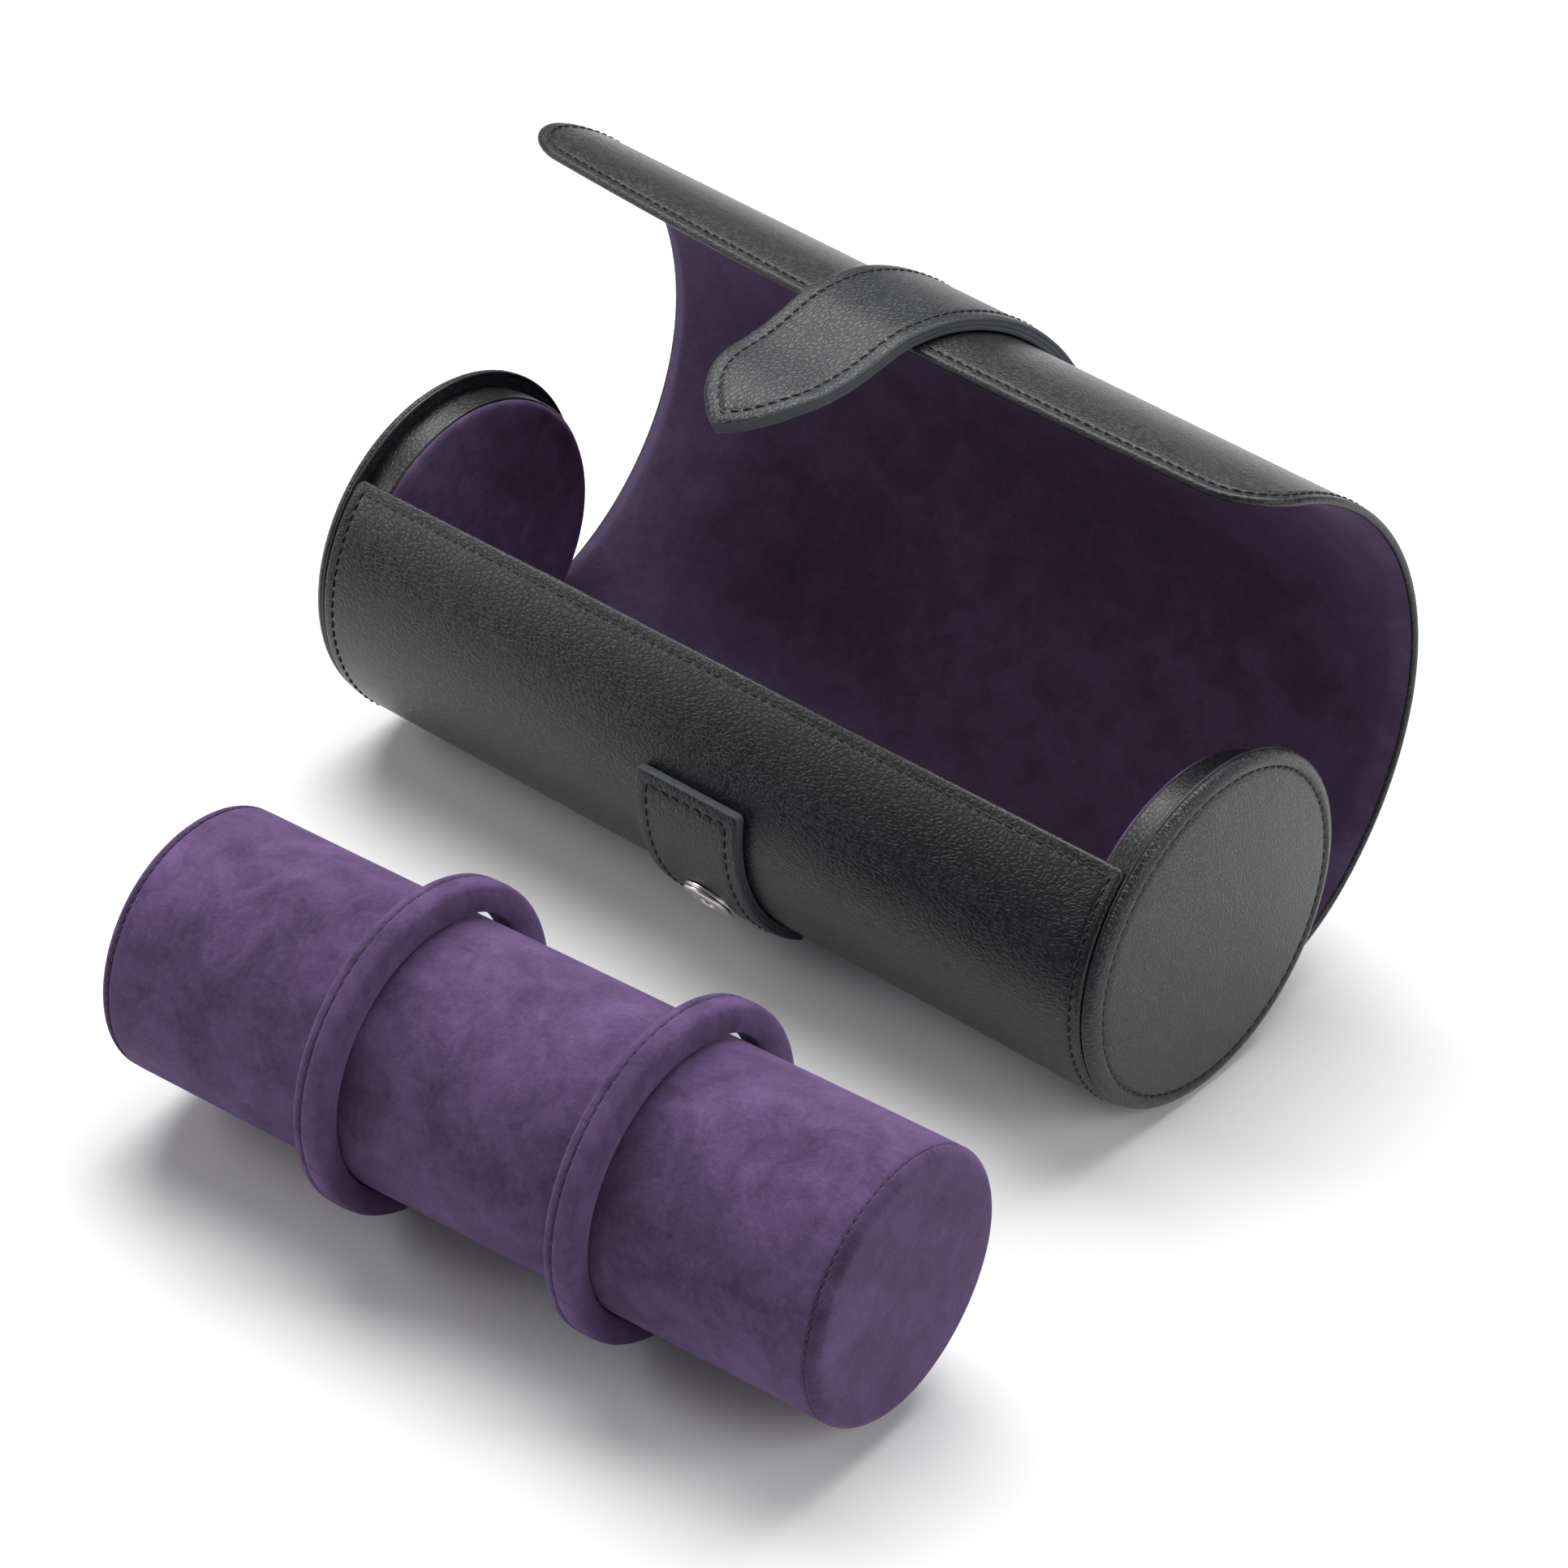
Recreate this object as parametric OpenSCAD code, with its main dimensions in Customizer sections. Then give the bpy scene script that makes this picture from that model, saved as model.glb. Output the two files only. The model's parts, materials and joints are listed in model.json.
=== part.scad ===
// Watch roll, open: a leather drum case with a hinged flap, a closing strap and a front tab,
// and the suede watch cushion with its two divider rings lying in front of it.
// X runs along the case, +Y to the back where the flap is hinged, +Z up, floor at z = 0.
// The flap is drawn closed, around its own centre, and then opened hinge by hinge.

/* [Case] */
// Length over the rims of the two end plates
case_len = 228.4; // [200:0.2:260]
// Outer radius of the leather wrap
case_r = 42; // [40:0.5:46]
// Depth by which the underside is pressed flat
flat_sag = 0.3; // [0.2:0.1:0.8]
// Front wall's top edge, degrees above the horizontal through the axis
front_edge_deg = 48; // [40:1:56]
// Flap hinge, degrees below the horizontal through the axis at the back
hinge_deg = 47; // [42:1:52]
// Width in X of the slot between the wrap and each end plate
end_slot = 0.3; // [0.2:0.1:0.8]

/* [Sheet] */
// Thickness of the outer leather
leather_t = 1.2; // [0.9:0.1:1.5]
// Thickness of the stiffening board
board_t = 1.5; // [1.2:0.1:2]
// Thickness of the suede lining
suede_t = 0.8; // [0.6:0.1:1.1]
// Play between glued layers
fit = 0.05; // [0.02:0.01:0.1]
// Play between pieces that move past each other
play = 0.4; // [0.3:0.05:0.5]

/* [End caps] */
// Depth in X of the plate's rolled leather rim
rim_t = 2.4; // [2:0.1:3]
// Width in X of the piping ring behind the plate
welt_t = 0.8; // [0.6:0.1:1]
// Height of the plate's padded face over its rim
face_dome = 0.8; // [0.4:0.1:1.2]
// Depth in X of the cap's core behind the plate
core_t = 7.6; // [6:0.2:12]
// Play between the wrap's lining and the cap's band
band_play = 0.6; // [0.5:0.05:0.8]
// Thickness of the suede pad inside the case
pad_t = 2.4; // [1.6:0.2:3.2]

/* [Flap] */
// Length of the flap's outer face around the closed case
flap_len = 180; // [174:0.5:183]
// Gap between the closed flap and the front wall
flap_lift = 3.5; // [3.4:0.1:3.9]
// Opening turn of the flap at its hinge
base_open = 35.5; // [20:0.5:40]
// Opening turn at each line where the flap uncurls
curl_open = 13.6; // [8:0.2:15]
// Slant of the lines where the flap uncurls
curl_slant = 4; // [0:0.5:6]
// How far the middle of the front edge runs ahead of its ends
front_bow = 4; // [2:0.5:7]
// Radius of the flap's front corners
corner_r = 16; // [10:1:24]

/* [Strap] */
// Place in X of the strap, the tab and the snap
strap_x = 3.5; // [-6:0.5:6]
// Width of the strap
strap_w = 31; // [28:0.2:34]
// Thickness of the strap
strap_t = 3.4; // [3:0.1:4]
// Angle on the flap where the strap's sewn end starts
strap_start = 54; // [50:1:70]
// Angle from the tongue's flex line to the flap's front edge
flex_back = 6; // [4:0.5:8]
// Length of the tongue past its flex line
tongue_len = 52.5; // [49:0.5:55]
// Length of the tongue's root, from its flex line to its bend line
root_len = 24; // [20:0.5:26]
// Opening turn of the tongue at its flex line
flex_open = 1; // [0.5:0.5:10]
// Opening turn of the tongue at its bend line
bend_open = 25.5; // [10:0.5:30]
// Width of the tongue where its sides start to curve in to the tip
tongue_w = 28; // [25:0.2:30]
// Radius of the tongue's two side curves
tongue_side_r = 26; // [22:0.5:30]

/* [Tab and snap] */
// Width of the front tab
tab_w = 29.6; // [26:0.2:34]
// Thickness of the front tab
tab_t = 2.8; // [2.4:0.1:3]
// Tab's top edge, degrees above the horizontal at the front
tab_top_deg = 9.5; // [6:0.5:12]
// Tab's lower end, degrees below the horizontal at the front
tab_low_deg = 60; // [52:1:62]
// Snap, degrees below the horizontal at the front
snap_deg = 34.5; // [30:0.5:38]
// Radius of the snap's discs
snap_r = 6.3; // [5.5:0.1:7]
// Radius of the snap's socket
socket_r = 2; // [1.8:0.1:2.4]
// Height of the lower snap disc over the tab
snap_h = 1.6; // [1.4:0.1:2]

/* [Cushion] */
// Length of the cushion roll
roll_len = 186.4; // [150:0.4:196]
// Radius of the cushion roll
roll_r = 30.1; // [27:0.1:31]
// Rounding of the roll's end edges
roll_edge = 2.6; // [1.5:0.1:4]
// Outer radius of the card tube inside the foam
tube_r = 18; // [14:0.5:22]
// Wall of the card tube
tube_wall = 2; // [1.5:0.1:3]
// Place of the roll's middle in X
roll_x = 40.6; // [20:0.2:60]
// Place of the roll's middle in Y
roll_y = -130; // [-150:0.5:-125]
// Turn of the roll about the upright axis
roll_yaw = 4.4; // [0:0.2:10]
// Thickness of the boards in the roll's ends
end_board_t = 1.6; // [1.2:0.1:2.4]

/* [Divider rings] */
// Radial thickness of a ring
ring_t = 5.7; // [4.5:0.1:6]
// Play between a ring and the roll
ring_play = 1.3; // [1.1:0.1:1.6]
// Width of a ring along the roll
ring_w = 7; // [6:0.5:9]
// Rounding of a ring's cross section
ring_round = 2.6; // [1.8:0.1:2.8]
// Place of the left ring along the roll
ring_left_x = -30; // [-40:1:-20]
// Place of the right ring along the roll
ring_right_x = 35; // [25:1:45]

/* [Hidden] */
$fn = 96;
PANELS = 5;

leather_black = "#242427";
leather_edge = "#3a3d42";
board_grey = "#8d8a82";
suede_dark = "#3b2850";
suede_light = "#6b4b86";
foam_cream = "#d9d2bd";
card_brown = "#a58a62";
steel = "#c9c9cc";

sheet_t = leather_t + board_t + suede_t;
case_z = case_r - flat_sag;
case_half = case_len / 2;
plate_step = 0.4;
plate_r = case_r - plate_step;
plate_x = case_half - rim_t;
welt_x = plate_x - fit - welt_t;
wrap_half = welt_x - end_slot;
band_r = case_r - sheet_t - band_play;
core_x = plate_x - core_t;
wrap_a0 = 180 - front_edge_deg;
wrap_a1 = 360 - hinge_deg;

// The closed flap is a part of a ring around its own centre, set forward by flap_lift. It runs
// through its hinge on the wrap and keeps its play over the caps' bands, which gives its radius.
flap_half = wrap_half;
hinge_y = case_r * cos(hinge_deg);
hinge_z = case_z - case_r * sin(hinge_deg);
clear_r = band_r + play + sheet_t;
away_0 = (pow(case_r, 2) - pow(clear_r, 2) + 2 * hinge_y * flap_lift) / (2 * clear_r);
away_rate = (case_z - hinge_z) / clear_r;
root = sqrt(pow(away_0 * away_rate, 2) - (pow(away_rate, 2) - 1) * (pow(away_0, 2) - pow(flap_lift, 2)));
flap_rise = (away_0 * away_rate - root) / (1 - pow(away_rate, 2));
flap_r = clear_r + away_0 + away_rate * flap_rise;
flap_cy = -flap_lift;
flap_cz = case_z + flap_rise;
flap_a0 = atan2(hinge_z - flap_cz, hinge_y - flap_cy);
panel_deg = flap_len / flap_r * 180 / PI / PANELS;
flap_a1 = flap_a0 + PANELS * panel_deg;
bow_r = (pow(flap_half, 2) + pow(front_bow, 2)) / (2 * front_bow);

strap_r0 = flap_r + play;
strap_r1 = strap_r0 + strap_t;
strap_split = 2 * strap_t * tan(curl_open / 2) + play;
flex_a = flap_a1 - flex_back;
hair = 0.01;

tab_r0 = case_r + fit;
tab_r1 = tab_r0 + tab_t;
snap_a = 180 + snap_deg;
seat_r = sqrt(pow(tab_r1, 2) - pow(snap_r, 2));
socket_top = tab_r1 + snap_h;
stud_t = 1.5;
stud_seat = socket_top + play + stud_t;
nub_h = 1.1;
nub_r = socket_r - play;
post_r = 1.5;
snap_edge = 0.45;
post_play = 0.1;
washer_r = 4.5;
washer_t = 0.5;
washer_r0 = tab_r0 + play;

// The closed tongue leaves the strap at the flex line and passes over the snap
flex_u = [cos(flex_a), sin(flex_a)];
stud_vec = [stud_seat * cos(snap_a) - flap_cy, case_z + stud_seat * sin(snap_a) - flap_cz];
tongue_r0 = (stud_vec * stud_vec - 2 * strap_r0 * (stud_vec * flex_u) + pow(strap_r0, 2))
    / (2 * (strap_r0 - stud_vec * flex_u));
tongue_c = [flap_cy, flap_cz] + (strap_r0 - tongue_r0) * flex_u;
tongue_r1 = tongue_r0 + strap_t;
tongue_a1 = flex_a + tongue_len / tongue_r1 * 180 / PI;
bend_a = flex_a + root_len / tongue_r1 * 180 / PI;

ring_r1 = roll_r + ring_play + ring_t;
ring_seat = 0.3;
roll_z = ring_t + ring_seat + roll_r;

// Gives a child drawn in (Y, Z) a length in X about the middle of the case
module along_x(len) {
    rotate([90, 0, 90])
        linear_extrude(height = len, center = true)
            children();
}

// Turns a profile of (radius, X) about the case's axis
module turn_case() {
    translate([0, 0, case_z])
        rotate([0, 90, 0])
            rotate_extrude()
                children();
}

// Flat part of a ring between two radii and two angles
module arc_band(r0, r1, a0, a1, steps = 12) {
    fan = [for (i = [0:steps]) 2 * r1 * [cos(a0 + (a1 - a0) * i / steps), sin(a0 + (a1 - a0) * i / steps)]];
    intersection() {
        difference() {
            circle(r = r1);
            circle(r = r0);
        }
        polygon(concat([[0, 0]], fan));
    }
}

// Part of the case's wrap between two radii, cut back from its free edges by inset
module wrap_block(r0, r1, inset) {
    turn = inset / case_r * 180 / PI;
    translate([0, 0, case_z])
        along_x(2 * (wrap_half - inset))
            arc_band(r0, r1, wrap_a0 + turn, wrap_a1 - play / case_r * 180 / PI);
}

module wrap_leather() {
    color(leather_black)
        difference() {
            wrap_block(case_r - sheet_t, case_r, 0);
            translate([0, 0, case_z])
                along_x(2 * (wrap_half - leather_t))
                    arc_band(case_r - sheet_t - 1, case_r - leather_t,
                        wrap_a0 + leather_t / case_r * 180 / PI, wrap_a1 + 2);
            translate([-case_half, -case_r, -case_r])
                cube([case_len, 2 * case_r, case_r]);
        }
}

module wrap_board() {
    color(board_grey)
        wrap_block(case_r - sheet_t + suede_t + fit, case_r - leather_t - fit, leather_t + fit);
}

module wrap_lining() {
    color(suede_dark)
        wrap_block(case_r - sheet_t, case_r - sheet_t + suede_t, leather_t + fit);
}

// Right end cap, piece by piece, from the outer face inwards
cap_skin = 0.9;
lip_t = 0.7;
lip_w = 5;
seam_back = 4.4;
groove_w = 0.5;
groove_d = 0.3;
rim_round = 0.6;
back_round = 0.3;
dome_at = 0.75;
welt_in = 0.1;
welt_cut = 0.3;
band_lip = 0.9;
band_turn = 1.8;
band_round = 0.4;
pad_edge = 0.35;
plate_in = plate_x + lip_t + fit;
plate_out = case_half - cap_skin - fit;
lip_r = band_r - lip_w;
foam_r = plate_r - seam_back;

module cap_face() {
    color(leather_black)
        turn_case()
            polygon([
                [0, case_half + face_dome], [foam_r * dome_at, case_half + face_dome * dome_at],
                [foam_r, case_half], [foam_r + groove_w, case_half - groove_d],
                [foam_r + 2 * groove_w, case_half], [plate_r - rim_round, case_half],
                [plate_r, case_half - rim_round], [plate_r, plate_x + back_round],
                [plate_r - back_round, plate_x], [lip_r, plate_x], [lip_r, plate_x + lip_t],
                [plate_r - cap_skin, plate_x + lip_t], [plate_r - cap_skin, case_half - cap_skin],
                [foam_r, case_half - cap_skin], [0, case_half - cap_skin + face_dome]
            ]);
}

module cap_foam() {
    color(foam_cream)
        turn_case()
            polygon([[0, plate_out + fit], [foam_r - 4 * fit, plate_out + fit],
                [0, plate_out + face_dome - fit]]);
}

module cap_plate() {
    color(board_grey)
        turn_case()
            polygon([[0, plate_in], [plate_r - cap_skin - fit, plate_in],
                [plate_r - cap_skin - fit, plate_out], [0, plate_out]]);
}

module cap_welt() {
    color(leather_edge)
        turn_case()
            polygon([[band_r + fit, welt_x], [plate_r - welt_in - welt_cut, welt_x],
                [plate_r - welt_in, welt_x + welt_cut], [plate_r - welt_in, welt_x + welt_t - welt_cut],
                [plate_r - welt_in - welt_cut, welt_x + welt_t], [band_r + fit, welt_x + welt_t]]);
}

module cap_core() {
    color(board_grey)
        turn_case()
            polygon([[0, core_x], [band_r - leather_t - fit, core_x], [band_r - leather_t - fit, plate_x - fit],
                [lip_r - fit, plate_x - fit], [lip_r - fit, plate_in - fit], [0, plate_in - fit]]);
}

module cap_band() {
    color(leather_black)
        turn_case()
            polygon([[band_r - leather_t, plate_x - fit], [band_r, plate_x - fit],
                [band_r, core_x - band_lip + band_round], [band_r - band_round, core_x - band_lip],
                [band_r - band_turn + band_round, core_x - band_lip],
                [band_r - band_turn, core_x - band_lip + band_round],
                [band_r - band_turn, core_x - fit], [band_r - leather_t, core_x - fit]]);
}

module cap_pad() {
    pad_r = band_r - band_turn - fit;
    swell = [for (a = [0:15:90]) [pad_r * cos(a), core_x - pad_t * (pad_edge + (1 - pad_edge) * sin(a))]];
    color(suede_dark)
        turn_case()
            polygon(concat([[0, core_x - fit], [pad_r, core_x - fit]], swell));
}

// Lines where the flap bends: a point at X = 0 and a direction, on the closed flap
function line_a(j) = flap_a0 + j * panel_deg;
function line_slant(j) = j > 0 && j < PANELS ? curl_slant : 0;
function line_pos(j) = [0, flap_cy + flap_r * cos(line_a(j)), flap_cz + flap_r * sin(line_a(j))];
function line_axis(j) = [cos(line_slant(j)), -sin(line_slant(j)) * sin(line_a(j)),
    sin(line_slant(j)) * cos(line_a(j))];
function line_open(j) = j == 0 ? base_open : curl_open;

// Turns a child open at bend line j, and at every line before it
module opened(j) {
    if (j < 0)
        children();
    else
        opened(j - 1)
            translate(line_pos(j))
                rotate(a = -line_open(j), v = line_axis(j))
                    translate(-line_pos(j))
                        children();
}

// Frame of bend line j: local Y points out of the flap, local Z runs on towards its front edge
module line_frame(j) {
    translate([0, flap_cy, flap_cz])
        rotate([line_a(j), 0, 0])
            rotate([0, -line_slant(j), 0])
                children();
}

// Space between bend line j and the next, less a gap on each side
module between_lines(j, gap_before, gap_after) {
    intersection() {
        line_frame(j)
            translate([-case_len, 1, gap_before])
                cube([2 * case_len, 2 * case_r, 2 * case_r]);
        line_frame(j + 1)
            translate([-case_len, 1, -2 * case_r - gap_after])
                cube([2 * case_len, 2 * case_r, 2 * case_r]);
    }
}

// Outline of the flap's front edge with its bow and round corners, cut back by inset
module front_outline(inset) {
    half = flap_half - inset;
    r = corner_r - inset;
    top = -front_bow * pow((flap_half - corner_r) / flap_half, 2) - inset;
    translate([0, flap_cy, flap_cz])
        rotate([flap_a1, 0, 0])
            translate([0, 1.5 * case_r, 0])
                rotate([90, 0, 0])
                    linear_extrude(height = case_r)
                        intersection() {
                            translate([0, -bow_r])
                                circle(r = bow_r - inset, $fn = 720);
                            union() {
                                translate([-half, top - r - 2 * case_r])
                                    square([2 * half, 2 * case_r]);
                                translate([r - half, top - 2 * case_r])
                                    square([2 * (half - r), 2 * case_r]);
                                for (side = [-1, 1])
                                    translate([side * (half - r), top - r])
                                        circle(r = r);
                            }
                        }
}

// One panel of the closed flap between two radii, cut back from its free edges by inset
module flap_block(j, r0, r1, inset, gap) {
    spread = 14;
    last = j == PANELS - 1;
    intersection() {
        translate([0, flap_cy, flap_cz])
            along_x(2 * (flap_half - inset))
                arc_band(r0, r1, line_a(j) - spread, line_a(j + 1) + spread);
        between_lines(j, gap, last ? 0 : gap);
        if (last)
            front_outline(inset);
    }
}

module flap_leather(j) {
    color(leather_black)
        opened(j)
            difference() {
                flap_block(j, flap_r - sheet_t, flap_r, 0, play / 2);
                flap_block(j, flap_r - sheet_t - 1, flap_r - leather_t, leather_t, 0);
            }
}

module flap_board(j) {
    color(board_grey)
        opened(j)
            flap_block(j, flap_r - sheet_t + suede_t + fit, flap_r - leather_t - fit,
                leather_t + fit, play / 2);
}

module flap_lining(j) {
    color(suede_dark)
        opened(j)
            flap_block(j, flap_r - sheet_t, flap_r - sheet_t + suede_t, leather_t + fit, play / 2);
}

// Part of the strap sewn on panel j, from its sewn end or a bend line to the next line or the flex line
module strap_block(j, r0, r1, inset, gap) {
    first = j == 2;
    last = j == PANELS - 1;
    past = 6;
    a0 = first ? strap_start + inset / strap_r0 * 180 / PI : line_a(j) - past;
    a1 = last ? flex_a - (play / 2 + hair) / strap_r0 * 180 / PI : line_a(j + 1) + past;
    intersection() {
        translate([strap_x, flap_cy, flap_cz])
            along_x(strap_w - 2 * inset)
                arc_band(r0, r1, a0, a1);
        between_lines(j, gap, gap);
    }
}

module strap_leather(j) {
    color(leather_black)
        opened(j)
            difference() {
                strap_block(j, strap_r0, strap_r1, 0, strap_split / 2);
                strap_block(j, strap_r0 - 1, strap_r1 - leather_t, leather_t, -1);
            }
}

module strap_filler(j) {
    color(leather_edge)
        opened(j)
            strap_block(j, strap_r0, strap_r1 - leather_t - fit, leather_t + fit, strap_split / 2);
}

// Opens a child at the strap's flex line, and with it at every line of the flap
module root_opened() {
    flex = [0, flap_cy + strap_r1 * cos(flex_a), flap_cz + strap_r1 * sin(flex_a)];
    opened(PANELS - 1)
        translate(flex)
            rotate([-flex_open, 0, 0])
                translate(-flex)
                    children();
}

// Opens a child at the tongue's bend line, and with it at every line before it
module tongue_opened() {
    bend = [0, tongue_c[0] + tongue_r1 * cos(bend_a), tongue_c[1] + tongue_r1 * sin(bend_a)];
    root_opened()
        translate(bend)
            rotate([-bend_open, 0, 0])
                translate(-bend)
                    children();
}

// Axis of the closed snap: local X points from the case's axis out through the snap
module snap_frame() {
    translate([strap_x, 0, case_z])
        rotate([snap_a, 0, 0])
            rotate([0, 0, 90])
                children();
}

module snap_disc(r, from, to) {
    snap_frame()
        translate([from, 0, 0])
            rotate([0, 90, 0])
                cylinder(r = r, h = to - from);
}

// Outline of the flat tongue, cut back by inset: a slow taper, then two curves that meet in a tip.
// Local Y runs along the tongue, and the tip is at tip_y.
module tongue_outline(tip_y, inset) {
    side_c = tongue_side_r - tongue_w / 2;
    curve_y = tip_y - sqrt(pow(tongue_side_r, 2) - pow(side_c, 2));
    root_half = strap_w / 2 - inset;
    curve_half = tongue_w / 2 - inset;
    polygon([[-root_half, curve_y - tongue_len], [root_half, curve_y - tongue_len],
        [curve_half, curve_y + fit], [-curve_half, curve_y + fit]]);
    intersection() {
        translate([side_c, curve_y])
            circle(r = tongue_side_r - inset);
        translate([-side_c, curve_y])
            circle(r = tongue_side_r - inset);
        translate([-strap_w, curve_y])
            square([2 * strap_w, tongue_len]);
    }
}

// Part of the closed tongue between two radii and two angles, cut back from its edges by inset
module tongue_block(r0, r1, a0, a1, inset) {
    half_turn = (tongue_a1 - bend_a) / 2;
    intersection() {
        translate([strap_x, tongue_c[0], tongue_c[1]])
            along_x(strap_w)
                arc_band(r0, r1, a0, a1);
        translate([strap_x, tongue_c[0], tongue_c[1]])
            rotate([tongue_a1 - half_turn, 0, 0])
                translate([0, 2 * case_r, 0])
                    rotate([90, 0, 0])
                        linear_extrude(height = 2 * case_r)
                            tongue_outline(tongue_r1 * sin(half_turn), inset);
    }
}

// Angle of half the gap at a line of the tongue
half_gap = (play / 2 + hair) / tongue_r0 * 180 / PI;
past_tip = 4;

module root_layer(r0, r1, inset, spill = 0) {
    tongue_block(r0, r1, flex_a + half_gap - spill, bend_a - half_gap + spill, inset);
}

module tip_layer(r0, r1, inset, spill = 0) {
    tongue_block(r0, r1, bend_a + half_gap - spill, tongue_a1 + past_tip, inset);
}

module tongue_root_leather() {
    color(leather_black)
        root_opened()
            difference() {
                root_layer(tongue_r0, tongue_r1, 0);
                root_layer(tongue_r0 - 1, tongue_r1 - leather_t, leather_t, 1);
            }
}

module tongue_root_filler() {
    color(leather_edge)
        root_opened()
            root_layer(tongue_r0 + leather_t + fit, tongue_r1 - leather_t - fit, leather_t + fit);
}

module tongue_root_lining() {
    color(leather_black)
        root_opened()
            root_layer(tongue_r0, tongue_r0 + leather_t, leather_t + fit);
}

module tongue_leather() {
    color(leather_black)
        tongue_opened()
            difference() {
                tip_layer(tongue_r0, tongue_r1, 0);
                tip_layer(tongue_r0 - 1, tongue_r1 - leather_t, leather_t, 1);
            }
}

module tongue_filler() {
    color(leather_edge)
        tongue_opened()
            difference() {
                tip_layer(tongue_r0 + leather_t + fit, tongue_r1 - leather_t - fit, leather_t + fit);
                snap_disc(post_r + post_play, stud_seat - 1, stud_seat + strap_t);
            }
}

module tongue_lining() {
    color(leather_black)
        tongue_opened()
            difference() {
                tip_layer(tongue_r0, tongue_r0 + leather_t, leather_t + fit);
                snap_disc(snap_r + post_play, stud_seat - 2 * stud_t, stud_seat + fit);
                snap_disc(post_r + post_play, stud_seat - 1, stud_seat + strap_t);
            }
}

module snap_stud() {
    color(steel)
        tongue_opened()
            union() {
                snap_disc(snap_r, stud_seat - stud_t, stud_seat);
                snap_disc(nub_r, stud_seat - stud_t - nub_h, stud_seat - stud_t / 2);
                snap_disc(post_r, stud_seat - stud_t / 2, stud_seat + leather_t);
            }
}

// Front tab between two radii, cut back from its edges by inset
module tab_block(r0, r1, inset) {
    turn = inset / case_r * 180 / PI;
    translate([strap_x, 0, case_z])
        along_x(tab_w - 2 * inset)
            arc_band(r0, r1, 180 - tab_top_deg + turn, 180 + tab_low_deg - turn);
}

module tab_leather() {
    color(leather_black)
        difference() {
            tab_block(tab_r0, tab_r1, 0);
            tab_block(tab_r0 - 1, tab_r1 - leather_t, leather_t);
            snap_disc(snap_r + post_play, seat_r - fit, tab_r1 + snap_h);
            snap_disc(post_r + post_play, tab_r0 - 1, tab_r1 + 1);
        }
}

module tab_filler() {
    color(leather_edge)
        difference() {
            tab_block(tab_r0, tab_r1 - leather_t - fit, leather_t + fit);
            snap_disc(washer_r + post_play, washer_r0 - fit, washer_r0 + washer_t + fit);
            snap_disc(post_r + post_play, tab_r0 - 1, tab_r1 + 1);
        }
}

module snap_socket() {
    color(steel)
        difference() {
            union() {
                snap_disc(snap_r, seat_r, socket_top - snap_edge);
                snap_disc(snap_r - snap_edge, socket_top - snap_edge - fit, socket_top);
                snap_disc(post_r, washer_r0 + washer_t + fit, seat_r + snap_h / 4);
            }
            snap_disc(socket_r, socket_top - nub_h - play / 2, socket_top + 1);
        }
}

module snap_washer() {
    color(steel)
        difference() {
            snap_disc(washer_r, washer_r0, washer_r0 + washer_t);
            snap_disc(post_r, tab_r0 - 1, tab_r1);
        }
}

// Frame of the cushion roll: local X along the roll, from its middle, at height z
module roll_frame(z) {
    translate([roll_x, roll_y, z])
        rotate([0, 0, roll_yaw])
            children();
}

// Turns a profile of (radius, X) about the roll's axis
module turn_roll(z = roll_z) {
    roll_frame(z)
        rotate([0, 90, 0])
            rotate_extrude()
                children();
}

roll_half = roll_len / 2;
board_x = roll_half - suede_t - fit - end_board_t;

module cushion_cover() {
    color(suede_light)
        turn_roll()
            polygon([
                [roll_r - suede_t, -roll_half + roll_edge], [roll_r, -roll_half + roll_edge],
                [roll_r, roll_half - roll_edge], [roll_r - suede_t, roll_half - roll_edge]
            ]);
}

module cushion_foam() {
    half = board_x - fit;
    color(foam_cream)
        turn_roll()
            polygon([[tube_r + fit, -half], [roll_r - suede_t - fit, -half],
                [roll_r - suede_t - fit, half], [tube_r + fit, half]]);
}

module cushion_tube() {
    half = board_x - fit;
    color(card_brown)
        turn_roll()
            polygon([[tube_r - tube_wall, -half], [tube_r, -half], [tube_r, half], [tube_r - tube_wall, half]]);
}

module roll_end_board() {
    color(board_grey)
        turn_roll()
            polygon([[0, board_x], [roll_r - roll_edge - fit, board_x],
                [roll_r - roll_edge - fit, board_x + end_board_t], [0, board_x + end_board_t]]);
}

// Suede end disc with its turned edge, which meets the cover at the seam
module roll_end() {
    e = roll_edge;
    in_r = roll_r - suede_t;
    color(suede_light)
        turn_roll()
            polygon(concat(
                [[0, roll_half]],
                [for (a = [90:-15:0]) [roll_r - e + e * cos(a), roll_half - e + fit + (e - fit) * sin(a)]],
                [[in_r, roll_half - e + fit], [roll_r - e, roll_half - suede_t], [0, roll_half - suede_t]]
            ));
}

module cushion_right_board() {
    roll_end_board();
}

module cushion_left_board() {
    roll_flip() roll_end_board();
}

module cushion_right_end() {
    roll_end();
}

module cushion_left_end() {
    roll_flip() roll_end();
}

// Turns a child to the roll's other end
module roll_flip() {
    roll_frame(0)
        rotate([0, 0, 180])
            rotate([0, 0, -roll_yaw])
                translate([-roll_x, -roll_y, 0])
                    children();
}

// A quarter of the round corners of a ring's cross section, around (r, x), from angle a0
function ring_corner(r, x, c, a0) = [for (a = [a0:30:a0 + 90]) [r + c * cos(a), x + c * sin(a)]];

// Cross section of a divider ring with round corners, cut back by inset
module ring_section(x, inset) {
    c = ring_round;
    low = ring_r1 - ring_t + c;
    high = ring_r1 - c;
    w = ring_w / 2 - c;
    polygon(concat(ring_corner(high, x + w, c - inset, 0), ring_corner(low, x + w, c - inset, 90),
        ring_corner(low, x - w, c - inset, 180), ring_corner(high, x - w, c - inset, 270)));
}

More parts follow.
